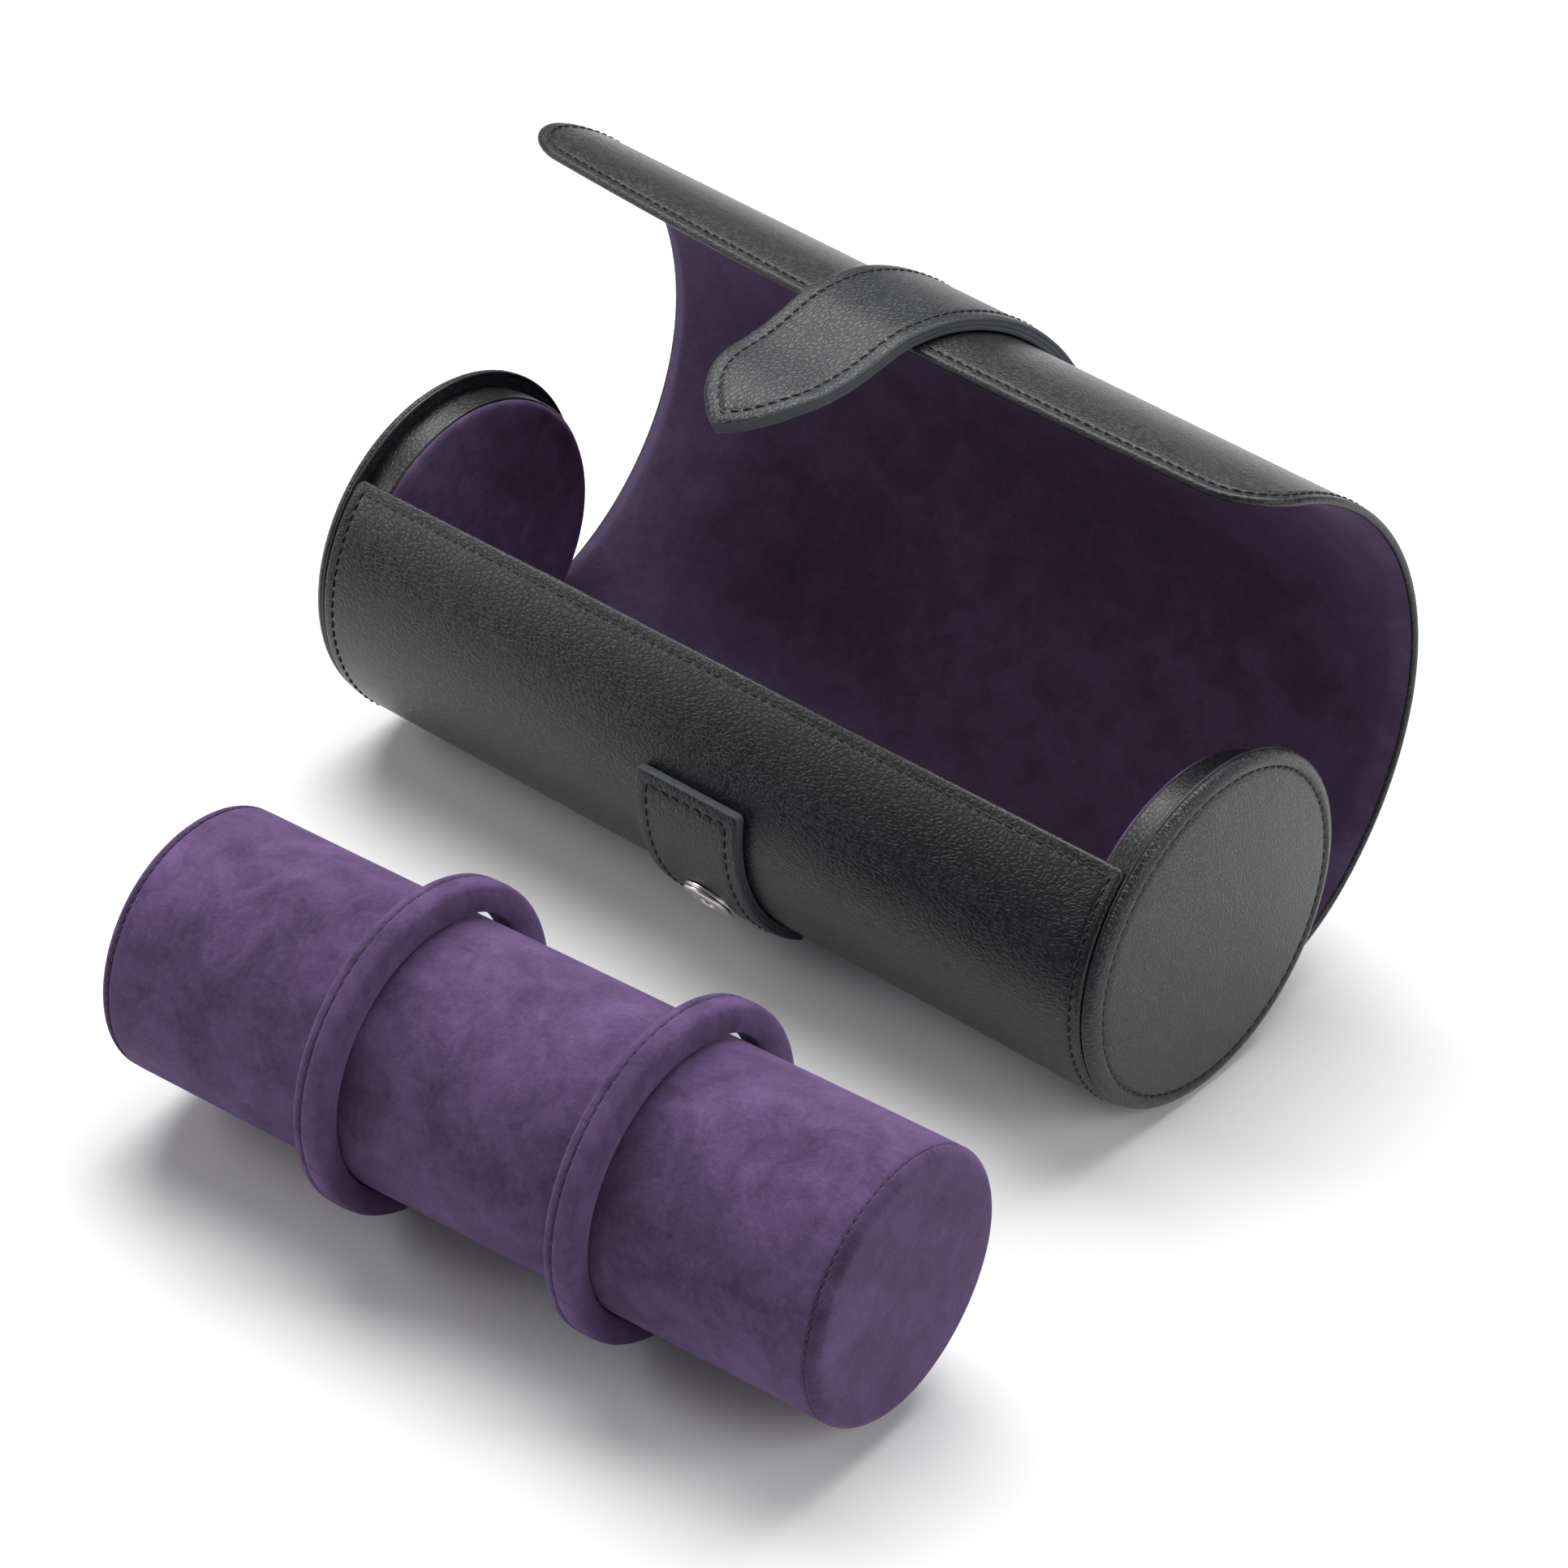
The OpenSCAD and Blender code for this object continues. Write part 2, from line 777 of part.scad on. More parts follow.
module ring_cover(x) {
    color(suede_light)
        turn_roll(ring_r1)
            difference() {
                ring_section(x, 0);
                ring_section(x, suede_t);
            }
}

module ring_core(x) {
    color(foam_cream)
        turn_roll(ring_r1)
            ring_section(x, suede_t + fit);
}

wrap_leather();
wrap_board();
wrap_lining();
cap_face();  // right_cap_face
cap_foam();  // right_cap_foam
cap_plate();  // right_cap_plate
cap_welt();  // right_cap_welt
cap_core();  // right_cap_core
cap_band();  // right_cap_band
cap_pad();  // right_cap_pad
mirror([1, 0, 0]) cap_face();  // left_cap_face
mirror([1, 0, 0]) cap_foam();  // left_cap_foam
mirror([1, 0, 0]) cap_plate();  // left_cap_plate
mirror([1, 0, 0]) cap_welt();  // left_cap_welt
mirror([1, 0, 0]) cap_core();  // left_cap_core
mirror([1, 0, 0]) cap_band();  // left_cap_band
mirror([1, 0, 0]) cap_pad();  // left_cap_pad
flap_leather(0);  // flap_leather_1
flap_leather(1);  // flap_leather_2
flap_leather(2);  // flap_leather_3
flap_leather(3);  // flap_leather_4
flap_leather(4);  // flap_leather_5
flap_board(0);  // flap_board_1
flap_board(1);  // flap_board_2
flap_board(2);  // flap_board_3
flap_board(3);  // flap_board_4
flap_board(4);  // flap_board_5
flap_lining(0);  // flap_lining_1
flap_lining(1);  // flap_lining_2
flap_lining(2);  // flap_lining_3
flap_lining(3);  // flap_lining_4
flap_lining(4);  // flap_lining_5
strap_leather(2);  // strap_leather_3
strap_leather(3);  // strap_leather_4
strap_leather(4);  // strap_leather_5
strap_filler(2);  // strap_filler_3
strap_filler(3);  // strap_filler_4
strap_filler(4);  // strap_filler_5
tongue_root_leather();
tongue_root_filler();
tongue_root_lining();
tongue_leather();
tongue_filler();
tongue_lining();
snap_stud();
tab_leather();
tab_filler();
snap_socket();
snap_washer();
cushion_cover();
cushion_foam();
cushion_tube();
cushion_right_board();
cushion_left_board();
cushion_right_end();
cushion_left_end();
ring_cover(ring_left_x);  // ring_left_cover
ring_core(ring_left_x);  // ring_left_core
ring_cover(ring_right_x);  // ring_right_cover
ring_core(ring_right_x);  // ring_right_core
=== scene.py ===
# %% [markdown]
# # A leather watch roll, dressed in Blender
# The frame holds every solid of the roll at its real size and in its real place. This lesson
# dresses it: bent leather sheets with turned edges, rows of thread, napped suede and a metal snap.
# All lengths below are in millimetres, and `MM` turns them into Blender's metres.

import json
import math

import bmesh
import bpy
import numpy as np
from mathutils import Matrix, Vector


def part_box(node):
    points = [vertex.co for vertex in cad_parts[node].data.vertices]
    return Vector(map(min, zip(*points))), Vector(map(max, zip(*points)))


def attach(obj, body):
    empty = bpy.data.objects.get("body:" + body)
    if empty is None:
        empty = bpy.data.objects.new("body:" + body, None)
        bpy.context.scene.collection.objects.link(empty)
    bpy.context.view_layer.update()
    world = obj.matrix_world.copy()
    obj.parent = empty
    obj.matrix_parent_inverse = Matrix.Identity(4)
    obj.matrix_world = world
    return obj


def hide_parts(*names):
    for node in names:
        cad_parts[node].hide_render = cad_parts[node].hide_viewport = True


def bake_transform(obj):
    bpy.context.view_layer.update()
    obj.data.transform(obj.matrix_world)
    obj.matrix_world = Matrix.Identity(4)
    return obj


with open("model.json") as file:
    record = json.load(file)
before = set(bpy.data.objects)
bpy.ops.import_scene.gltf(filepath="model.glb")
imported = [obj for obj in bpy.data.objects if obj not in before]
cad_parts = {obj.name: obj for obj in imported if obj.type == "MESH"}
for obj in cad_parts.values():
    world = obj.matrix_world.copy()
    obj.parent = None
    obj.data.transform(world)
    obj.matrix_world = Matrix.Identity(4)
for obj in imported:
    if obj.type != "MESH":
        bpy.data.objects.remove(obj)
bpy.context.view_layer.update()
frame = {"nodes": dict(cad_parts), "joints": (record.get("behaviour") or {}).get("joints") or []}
MM = 0.001

# %% [markdown]
# ## The camera
# A product photo is taken with a long lens from far away. The camera's place was worked out from
# the photo's straight edges and round ends, so it is written as a yaw, a pitch, a distance and a
# point that it looks at. Building the rotation from three vectors avoids guessing Euler angles.

# %% Camera
VIEW_YAW, VIEW_PITCH, VIEW_ROLL = 41.67, 36.63, -0.25
VIEW_AT = np.array([11.16, -20.85, 42.0])
VIEW_DISTANCE = 1130.5
LENS, SENSOR, VIEW_END = 118.97, 36, 20


def camera_axes(yaw, pitch, roll):
    """Right, up and back vectors of a camera that looks down by pitch and round by yaw."""
    y, p, r = (math.radians(v) for v in (yaw, pitch, roll))
    back = np.array([math.sin(y) * math.cos(p), -math.cos(y) * math.cos(p), math.sin(p)])
    right = np.cross(-back, [0, 0, 1])
    right /= np.linalg.norm(right)
    up = np.cross(right, -back)
    return math.cos(r) * right + math.sin(r) * up, math.cos(r) * up - math.sin(r) * right, back


view_right, view_up, view_back = camera_axes(VIEW_YAW, VIEW_PITCH, VIEW_ROLL)
view = bpy.data.cameras.new("view")
view.lens = LENS
view.sensor_width = SENSOR
view.clip_end = VIEW_END
camera = bpy.data.objects.new("camera", view)
bpy.context.scene.collection.objects.link(camera)
turn = Matrix([list(row) for row in np.column_stack([view_right, view_up, view_back])])
camera.matrix_world = Matrix.Translation(Vector((VIEW_AT + view_back * VIEW_DISTANCE) * MM)) @ turn.to_4x4()
bpy.context.scene.camera = camera
print("camera at", [round(v, 3) for v in camera.location])

# %% [markdown]
# ## Sizes that the looks share with the frame
# The sheet pieces are drawn again here as smooth surfaces, so they repeat the frame's own sizes.
# Where the frame can say a size, it is read from the frame's boxes and joints and not typed.
# These are the case's and the flap's, and the other pieces' sizes come where they are needed.
# `ZONES` gives a stretch to each side of the flap's five lines; at the hinge the sheet bends over the
# first.

# %% Sizes of the case and the flap
joints = {j["name"]: j for j in frame["joints"]}
CASE_R = 42.0
CASE_Z = 41.7
SHEET_T = 3.5
WRAP_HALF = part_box("wrap_leather")[1].x / MM
FRONT_DEG = 132.0
HINGE_DEG = 313.0
HINGE = np.array(joints["flap_hinge"]["pos_m"]) / MM
FLAP_CENTRE = np.array([-3.5, 43.5518])
FLAP_R = float(np.hypot(HINGE[1] - FLAP_CENTRE[0], HINGE[2] - FLAP_CENTRE[1]))
FLAP_LEN = 180.0
FLAP_A0 = math.atan2(HINGE[2] - FLAP_CENTRE[1], HINGE[1] - FLAP_CENTRE[0])
PANELS = 5
PANEL = FLAP_LEN / PANELS
BASE_OPEN = math.radians(joints["flap_hinge"]["range_deg"][1])
CURL_OPEN = math.radians(13.6)
SLANT = math.radians(4.0)
SLOPE = math.tan(SLANT)
BOW = 4.0
CORNER_R = 16.0
ZONES = [7.0, 15.0, 15.0, 15.0, 8.0]
print(f"flap radius {FLAP_R:.2f} mm, wrap half width {WRAP_HALF:.2f} mm")

# %% [markdown]
# ## One sheet from the front wall to the flap's edge
# The wrap and the flap are one bent sheet. A point on it has a place across (`x`), a distance
# `s` along it from the hinge line (negative on the wrap, positive on the flap) and a height `h`
# over its outer face. The closed sheet is two arcs. It opens by many small turns about slanted
# lines, the same ones that the frame's joints stand for, so the open flap is smooth and has the
# slight twist of the real one. Bones and a lattice could do this, but a formula keeps the
# leather's length exact.
#
# First come the closed sheet and the lines that it bends about.


# %% The closed sheet and its bend lines
def turn_about(point, axis, angle):
    """4x4 matrix that turns about a line."""
    x, y, z = axis / np.linalg.norm(axis)
    c, s = math.cos(angle), math.sin(angle)
    k = np.array([[0, -z, y], [z, 0, -x], [-y, x, 0]])
    r = np.eye(3) + s * k + (1 - c) * (k @ k)
    m = np.eye(4)
    m[:3, :3] = r
    m[:3, 3] = point - r @ point
    return m


def closed_point(x, s, h):
    """Where the sheet's point is when the case is closed."""
    on_wrap = s < 0
    angle = np.where(on_wrap, math.radians(HINGE_DEG - 360) + s / CASE_R, FLAP_A0 + s / FLAP_R)
    r = np.where(on_wrap, CASE_R, FLAP_R) + h
    cy = np.where(on_wrap, 0.0, FLAP_CENTRE[0])
    cz = np.where(on_wrap, CASE_Z, FLAP_CENTRE[1])
    return np.stack([x + 0 * angle, cy + r * np.cos(angle), cz + r * np.sin(angle)], axis=-1)


def bend_line(s, slant):
    """Point and direction of the line at x = 0 about which the closed sheet bends at s."""
    a = FLAP_A0 + s / FLAP_R
    point = np.array([0, FLAP_CENTRE[0] + FLAP_R * math.cos(a), FLAP_CENTRE[1] + FLAP_R * math.sin(a)])
    along = np.array([math.cos(slant), -math.sin(slant) * math.sin(a), math.sin(slant) * math.cos(a)])
    return point, along


print("closed flap's front edge at", closed_point(0, FLAP_LEN, 0).round(1))

# %% [markdown]
# ### How the flap opens
# `curl` holds one turn for each of many steps along the flap. Each step adds a small turn about
# its own line to all the turns before it, as each knuckle of a finger carries the rest. A point
# takes the turn of its step, mixed with the next step's so that no facet shows.

# %% The flap's curl
FIRST_CURL, LAST_CURL = PANEL / 2, FLAP_LEN - PANEL / 2
CURL_STEPS = 288
curl_s = np.linspace(FIRST_CURL, LAST_CURL, CURL_STEPS + 1)
curl = [turn_about(*bend_line(0, 0), -BASE_OPEN)]
for s0, s1 in zip(curl_s[:-1], curl_s[1:]):
    point, axis = bend_line((s0 + s1) / 2, SLANT)
    curl.append(curl[-1] @ turn_about(point, axis, -(PANELS - 1) * CURL_OPEN / CURL_STEPS))
curl = np.array(curl)


def smooth(t):
    """Goes from 0 to 1 with soft starts and stops."""
    t = np.clip(t, 0, 1)
    return t * t * (3 - 2 * t)


def apply(m, p):
    """Moves points by 4x4 matrices."""
    return np.einsum("...ij,...j->...i", m[..., :3, :3], p) + m[..., :3, 3]


def uncurl(p, line):
    """Takes a point from the closed flap to the open one, by the bend line that it lies on."""
    i = (np.clip(line, FIRST_CURL, LAST_CURL) - FIRST_CURL) / (LAST_CURL - FIRST_CURL) * CURL_STEPS
    low = np.clip(i.astype(int), 0, CURL_STEPS - 1)
    part = (i - low)[..., None]
    return apply(curl[low], p) * (1 - part) + apply(curl[low + 1], p) * part


def base_turn(w):
    """Matrices for a share w of the flap's turn at its hinge."""
    flat = np.array([turn_about(*bend_line(0, 0), -BASE_OPEN * v) for v in np.ravel(w)])
    return flat.reshape(np.shape(w) + (4, 4))


def sheet_point(x, s, h):
    """Where the sheet's point is at rest, with the flap open."""
    x, s, h = np.broadcast_arrays(np.asarray(x, float), np.asarray(s, float), np.asarray(h, float))
    p = closed_point(x, s, h)
    open_p = uncurl(p, s - x * SLOPE)
    near = np.abs(s) < ZONES[0]
    out = np.where((s < 0)[..., None], p, open_p)
    if near.any():
        out[near] = apply(base_turn(smooth((s[near] + ZONES[0]) / (2 * ZONES[0]))), p[near])
    out[..., 2] = np.where(s < 0, np.maximum(out[..., 2], -np.minimum(h, 0)), out[..., 2])
    return out


print("open flap's front edge at", sheet_point(0, FLAP_LEN, 0).round(1))

# %% [markdown]
# ## The strap, its tongue and the tab
# The strap lies on the flap and follows it. Past the flap's edge its tongue is free: it is cut to
# pass over the snap when it is closed, and it bends at its root and in its middle when it opens.
# The tab is a short strip on the front wall. Each has its own place across and along. A curve
# modifier could bend them too, but with two arcs the tongue's snap half lands on the tab's.

# %% Sizes of the strap, its tongue and the tab
STRAP_X = 3.5
STRAP_HALF, STRAP_T, STRAP_GAP = 15.5, 3.4, 0.4
STRAP_R = FLAP_R + STRAP_GAP + STRAP_T
STRAP_START = math.radians(54.0)
FLEX = math.radians(174.0)
TONGUE_CENTRE = np.array([-1.7805, 43.3711])
TONGUE_STEP = 0.017
TONGUE_R = STRAP_R + float(np.hypot(*(FLAP_CENTRE - TONGUE_CENTRE))) - TONGUE_STEP
ROOT_LEN, TONGUE_LEN = 24.0, 52.5
TONGUE_HALF, TONGUE_SIDE_R = 14.0, 26.0
TAPER_FROM, TAPER_LEN = -10.0, 39.4
FLEX_OPEN = math.radians(joints["tongue_flex"]["range_deg"][1])
BEND_OPEN = math.radians(joints["tongue_bend"]["range_deg"][1])
TAB_HALF, TAB_T, TAB_R = 14.8, 2.8, 44.85
TAB_TOP, TAB_LOW = math.radians(170.5), math.radians(240.0)
TAB_MIDDLE = (TAB_TOP + TAB_LOW) / 2
print(f"strap {2 * STRAP_HALF} mm wide, tongue {TONGUE_LEN} mm long, tab {2 * TAB_HALF} mm wide")

# %% [markdown]
# ### Points on the strap and the tab
# The strap's point is found on the closed case, where strap and tongue are two arcs. It is then
# swung open at the tongue's two bends, and last it goes through the flap's own curl.


# %% Strap and tab surfaces
def swing(p, at, angle):
    """Turns points about a line that runs in X through (y, z)."""
    y, z = p[..., 1] - at[0], p[..., 2] - at[1]
    c, s = np.cos(angle), np.sin(angle)
    return np.stack([p[..., 0], at[0] + c * y - s * z, at[1] + s * y + c * z], axis=-1)


def on_circle(centre, r, angle):
    """The (y, z) of a place on a circle."""
    return centre + r * np.array([math.cos(angle), math.sin(angle)])


FLEX_AT = on_circle(FLAP_CENTRE, STRAP_R, FLEX)
BEND_AT = on_circle(TONGUE_CENTRE, TONGUE_R, FLEX + ROOT_LEN / TONGUE_R)
FLEX_ZONE, BEND_FROM, BEND_TO = 6.0, 6.0, 40.0


def strap_point(x, t, h):
    """A point of the strap at rest: x from its middle, t from the flex line, h over its face."""
    x, t, h = np.broadcast_arrays(np.asarray(x, float), np.asarray(t, float), np.asarray(h, float))
    free = t > 0
    r0 = np.where(free, TONGUE_R, STRAP_R)
    angle = FLEX + t / r0
    cy = np.where(free, TONGUE_CENTRE[0], FLAP_CENTRE[0])
    cz = np.where(free, TONGUE_CENTRE[1], FLAP_CENTRE[1])
    p = np.stack([x + STRAP_X, cy + (r0 + h) * np.cos(angle), cz + (r0 + h) * np.sin(angle)], axis=-1)
    p = swing(p, BEND_AT, -BEND_OPEN * smooth((t - BEND_FROM) / (BEND_TO - BEND_FROM)))
    p = swing(p, FLEX_AT, -FLEX_OPEN * smooth((t + FLEX_ZONE) / (2 * FLEX_ZONE)))
    line = np.where(free, FLAP_LEN, (angle - FLAP_A0) * FLAP_R)
    return uncurl(p, line - (x + STRAP_X) * SLOPE)


def strap_half(t):
    """Half of the strap's width, which tapers slowly along the tongue."""
    share = np.clip((np.asarray(t, float) - TAPER_FROM) / TAPER_LEN, 0, 1)
    return STRAP_HALF + (TONGUE_HALF - STRAP_HALF) * share


def tab_point(x, t, h):
    """A point of the tab: x from its middle, t down from its middle, h over its face."""
    x, t, h = np.broadcast_arrays(np.asarray(x, float), np.asarray(t, float), np.asarray(h, float))
    angle = TAB_MIDDLE + t / TAB_R
    r = TAB_R + h
    return np.stack([x + STRAP_X, r * np.cos(angle), CASE_Z + r * np.sin(angle)], axis=-1)


print("tongue's tip at", strap_point(0, TONGUE_LEN, 0).round(1))

# %% [markdown]
# ## Meshes from rows of points
# Every cloth and leather piece is a grid of points that a rule puts in place. `grid_faces`
# joins them up, and `piece` makes the object, gives it its flat pattern as a UV map in
# millimetres, so that grain keeps its size where the sheet bends, and lets it ride on its body.
# Points that fall on each other, as in the middle of a disc, are welded.

# %% Mesh helpers
NO_AREA, WELD = 1e-7, 2e-6


def grid_faces(rows, columns, start=0, wrap=False, flip=False):
    """Quads of a grid of points that is stored row by row."""
    faces = []
    for i in range(rows - 1):
        for j in range(columns if wrap else columns - 1):
            k = (j + 1) % columns
            quad = [start + i * columns + j, start + i * columns + k,
                    start + (i + 1) * columns + k, start + (i + 1) * columns + j]
            faces.append(quad[::-1] if flip else quad)
    return faces


def piece(name, points, faces, flat, material, slot, body=None, replaces=(), edge=None, side=()):
    """A smooth mesh piece with its pattern as UV map. The faces in side take the edge material."""
    mesh = bpy.data.meshes.new(name)
    mesh.from_pydata([tuple(p) for p in np.asarray(points) * MM], [], faces)
    bm = bmesh.new()
    bm.from_mesh(mesh)
    layer = bm.loops.layers.uv.new("pattern")
    bm.verts.ensure_lookup_table()
    bm.faces.ensure_lookup_table()
    for k in side:
        bm.faces[k].material_index = 1
    for face in bm.faces:
        face.smooth = True
        for loop in face.loops:
            loop[layer].uv = flat[loop.vert.index]
    bmesh.ops.dissolve_degenerate(bm, dist=NO_AREA, edges=bm.edges)
    bmesh.ops.remove_doubles(bm, verts=bm.verts, dist=WELD)
    bm.to_mesh(mesh)
    bm.free()
    made = bpy.data.objects.new(name, mesh)
    bpy.context.scene.collection.objects.link(made)
    made.data.materials.append(material)
    if edge:
        made.data.materials.append(edge)
    if replaces:
        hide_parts(*replaces)
    if body:
        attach(made, body)
    return made


print("faces in a grid of 3 by 4 points:", len(grid_faces(3, 4)))

# %% [markdown]
# ## Materials
# Leather, suede, thread and metal are each one function. Photos of real hides could be mapped on
# the pieces, but they show seams and repeat. Noise and Voronoi textures make the grain in the
# pattern's own millimetres, so there is no image and nothing slides when a piece bends.
# `Nodes` is a short way to add shader nodes, and its `weigh` adds up textures by their shares.


# %% Material helpers
class Nodes:
    """A short way to add and join shader nodes."""

    def __init__(self, name):
        self.material = bpy.data.materials.new(name)
        self.material.use_nodes = True
        self.tree = self.material.node_tree
        self.shader = self.tree.nodes["Principled BSDF"]
        self.place = -200

    def add(self, kind, inputs=None, **settings):
        """Adds a node. An input is a number, a colour, or another node's output to join."""
        node = self.tree.nodes.new(kind)
        for key, value in settings.items():
            setattr(node, key, value)
        self.place -= 180
        node.location = (self.place, 0)
        for key, value in (inputs or {}).items():
            self.fill(node.inputs[key], value)
        return node

    def fill(self, socket, value):
        if isinstance(value, bpy.types.NodeSocket):
            self.tree.links.new(value, socket)
        else:
            socket.default_value = value

    def set(self, **inputs):
        """Fills the shader's own inputs, with _ for each space in a name."""
        for key, value in inputs.items():
            self.fill(self.shader.inputs[key.replace("_", " ")], value)

    def math(self, operation, a, b):
        return self.add("ShaderNodeMath", {0: a, 1: b}, operation=operation).outputs[0]

    def weigh(self, *parts):
        """Sum of textures, each times its share."""
        total = None
        for value, share in parts:
            part = self.math("MULTIPLY", value, share)
            total = part if total is None else self.math("ADD", total, part)
        return total

    def coords(self, pattern):
        """Coordinates in millimetres, from the pattern or from the object's own space."""
        source = self.add("ShaderNodeTexCoord").outputs["UV" if pattern else "Object"]
        size = 1.0 if pattern else 1 / MM
        inputs = {"Vector": source, "Scale": (size, size, size)}
        return self.add("ShaderNodeMapping", inputs).outputs["Vector"]

    def noise(self, vector, scale, detail=2.0, rough=0.5, distort=0.0):
        inputs = {"Vector": vector, "Scale": scale, "Detail": detail,
                  "Roughness": rough, "Distortion": distort}
        return self.add("ShaderNodeTexNoise", inputs).outputs["Fac"]

    def ramp(self, value, stops):
        """Colours at places from 0 to 1, and the mixes between them."""
        node = self.add("ShaderNodeValToRGB", {"Fac": value})
        while len(node.color_ramp.elements) < len(stops):
            node.color_ramp.elements.new(0.5)
        for element, (at, colour) in zip(node.color_ramp.elements, stops):
            element.position = at
            element.color = (*colour, 1)
        return node.outputs["Color"]

    def remap(self, value, low, high):
        """Takes 0 to 1 to a range."""
        inputs = {"Value": value, "To Min": low, "To Max": high}
        return self.add("ShaderNodeMapRange", inputs).outputs["Result"]

    def bump(self, height, distance, strength):
        """Normals that make a height, in shares of distance millimetres, look real."""
        inputs = {"Height": height, "Distance": distance * MM, "Strength": strength}
        return self.add("ShaderNodeBump", inputs).outputs["Normal"]


def shade(colour, share):
    """A colour made darker or lighter."""
    return [v * share for v in colour]


print("a shade:", shade((0.5, 0.4, 0.2), 0.5))

# %% [markdown]
# ### Pebbled leather
# The grain is a net of creases round small pads, a little longer across the sheet than along
# it. A distorted Voronoi net gives the creases, finer noise breaks them up, and both colour and
# roughness change slowly over the hide so that it doesn't look printed. A thin rough coat gives
# the wide soft shine of finished leather.

# %% Leather
PEBBLES = 1.1
GRAIN_DEPTH = 0.15
BLACK = (0.0115, 0.0115, 0.0135)


def leather(name, colour, pattern=True, grain=1.0, roughness=0.36, stretch=(0.55, 1.0, 0.8)):
    """Leather whose pads are longest where stretch is least, and whose relief grows with grain."""
    n = Nodes(name)
    place = n.coords(pattern)
    warp = n.add("ShaderNodeTexNoise", {"Vector": place, "Scale": 0.35, "Detail": 2.0}).outputs["Color"]
    bent = n.add("ShaderNodeMix", {"Factor": 0.4, 6: place, 7: warp}, data_type="RGBA",
                 blend_type="LINEAR_LIGHT").outputs[2]
    stretched = n.add("ShaderNodeMapping", {"Vector": bent, "Scale": stretch}).outputs["Vector"]
    net = n.add("ShaderNodeTexVoronoi", {"Vector": stretched, "Scale": PEBBLES, "Randomness": 1.0},
                feature="DISTANCE_TO_EDGE").outputs["Distance"]
    pads = n.math("MINIMUM", n.math("MULTIPLY", net, 5.0), 1.0)
    dome = n.math("MINIMUM", n.math("MULTIPLY", net, 2.0), 1.0)
    fine = n.noise(stretched, 1.7, 2.0, 0.5)
    soft = n.noise(place, 0.35, 2.0, 0.5)
    large = n.noise(place, 0.045, 3.0, 0.55)
    height = n.weigh((pads, 0.40), (dome, 0.30), (fine, 0.20), (soft, 0.35))
    tone = n.weigh((large, 0.6), (pads, 0.4))
    rough = n.remap(n.weigh((fine, 0.5), (large, 0.5)), roughness - 0.08, roughness + 0.08)
    n.set(Base_Color=n.ramp(tone, [(0.22, shade(colour, 0.35)), (0.72, shade(colour, 1.3))]),
          Roughness=rough, IOR=1.5, Specular_IOR_Level=0.30, Coat_Weight=0.40,
          Coat_Roughness=0.36, Coat_IOR=1.38, Normal=n.bump(height, GRAIN_DEPTH * grain, 0.8))
    return n.material


black_hide = leather("black_hide", BLACK, grain=1.2)
black_hide_turned = leather("black_hide_turned", BLACK, pattern=False)
black_edge = leather("black_edge", (0.020, 0.022, 0.026), pattern=False, grain=0.4, roughness=0.4)
strap_hide = leather("strap_hide", (0.0125, 0.014, 0.0168), grain=2.2, roughness=0.42,
                     stretch=(1.0, 0.55, 0.8))
band_hide = leather("band_hide", BLACK, grain=0.9, stretch=(0.6, 1.1, 1.0))
# Painted light: the end discs' leather is the black hide made 1.9 times lighter, for the light that falls
# on the case's ends.
disc_hide_lit = leather("disc_hide_lit", shade(BLACK, 1.9), grain=2.4, stretch=(1.0, 1.0, 0.8))
print("leathers:", len(bpy.data.materials))

# %% [markdown]
# ### Suede
# Suede is a nap of short fibres. It scatters light at grazing angles, which the shader's sheen
# does, and fingers leave lighter and darker strokes in it, which are two sizes of warped noise.
# The lining is darker than the cushion, partly as painted shade inside the case, and its strokes
# are fainter. The pads' lighter copy of it is painted light, the cushion ends' darker copy painted shade.

# %% Suede
VIOLET = (0.086, 0.050, 0.121)
# Partly painted shade: DEEP_VIOLET is darker than VIOLET for the shade inside the case.
DEEP_VIOLET = (0.074, 0.047, 0.100)
NAP_TINT = (0.62, 0.42, 0.85, 1)


def suede(name, colour, pattern=True, cloud=0.5):
    """Suede whose strokes differ from its colour by about the share cloud."""
    n = Nodes(name)
    place = n.coords(pattern)
    strokes = n.noise(place, 0.028, 4.0, 0.6, 0.9)
    blotch = n.noise(place, 0.10, 6.0, 0.66, 0.5)
    nap = n.noise(place, 3.2, 3.0, 0.75)
    lint = n.noise(place, 0.7, 3.0, 0.7, 0.4)
    tone = n.weigh((strokes, 0.27), (blotch, 0.40), (nap, 0.15), (lint, 0.18))
    dark = shade(colour, 1 - cloud)
    light = shade(colour, 1 + cloud * 1.2)
    n.set(Base_Color=n.ramp(tone, [(0.38, dark), (0.50, colour), (0.62, light)]), Roughness=0.95,
          Specular_IOR_Level=0.15, Sheen_Weight=0.35, Sheen_Roughness=0.45, Sheen_Tint=NAP_TINT,
          Normal=n.bump(n.math("ADD", nap, lint), 0.22, 0.7))
    return n.material


# Painted shade: the lining is a still darker copy of the deep violet.
lining_suede_shaded = suede("lining_suede_shaded", shade(DEEP_VIOLET, 0.88), cloud=0.32)
# Painted light: the inner pads are a lighter copy of the deep violet.
pad_suede_lit = suede("pad_suede_lit", shade(DEEP_VIOLET, 1.35))
cushion_suede = suede("cushion_suede", VIOLET)
# Painted shade: the cushion's ends, which face the right lamp, are a darker copy of its suede.
cushion_end_suede_shaded = suede("cushion_end_suede_shaded", shade(VIOLET, 0.72))
ring_suede = suede("ring_suede", shade(VIOLET, 0.93))
turned_suede = suede("turned_suede", DEEP_VIOLET, pattern=False)
print("leathers and suedes:", len(bpy.data.materials))

# %% [markdown]
# ### Thread, cut edges, metal and the hidden fillings
# Thread is twisted, so its bump runs slantwise. A cut edge shows the layers of leather as fine
# lines. The fillings are never seen when the roll is whole, but they still get their own finish.


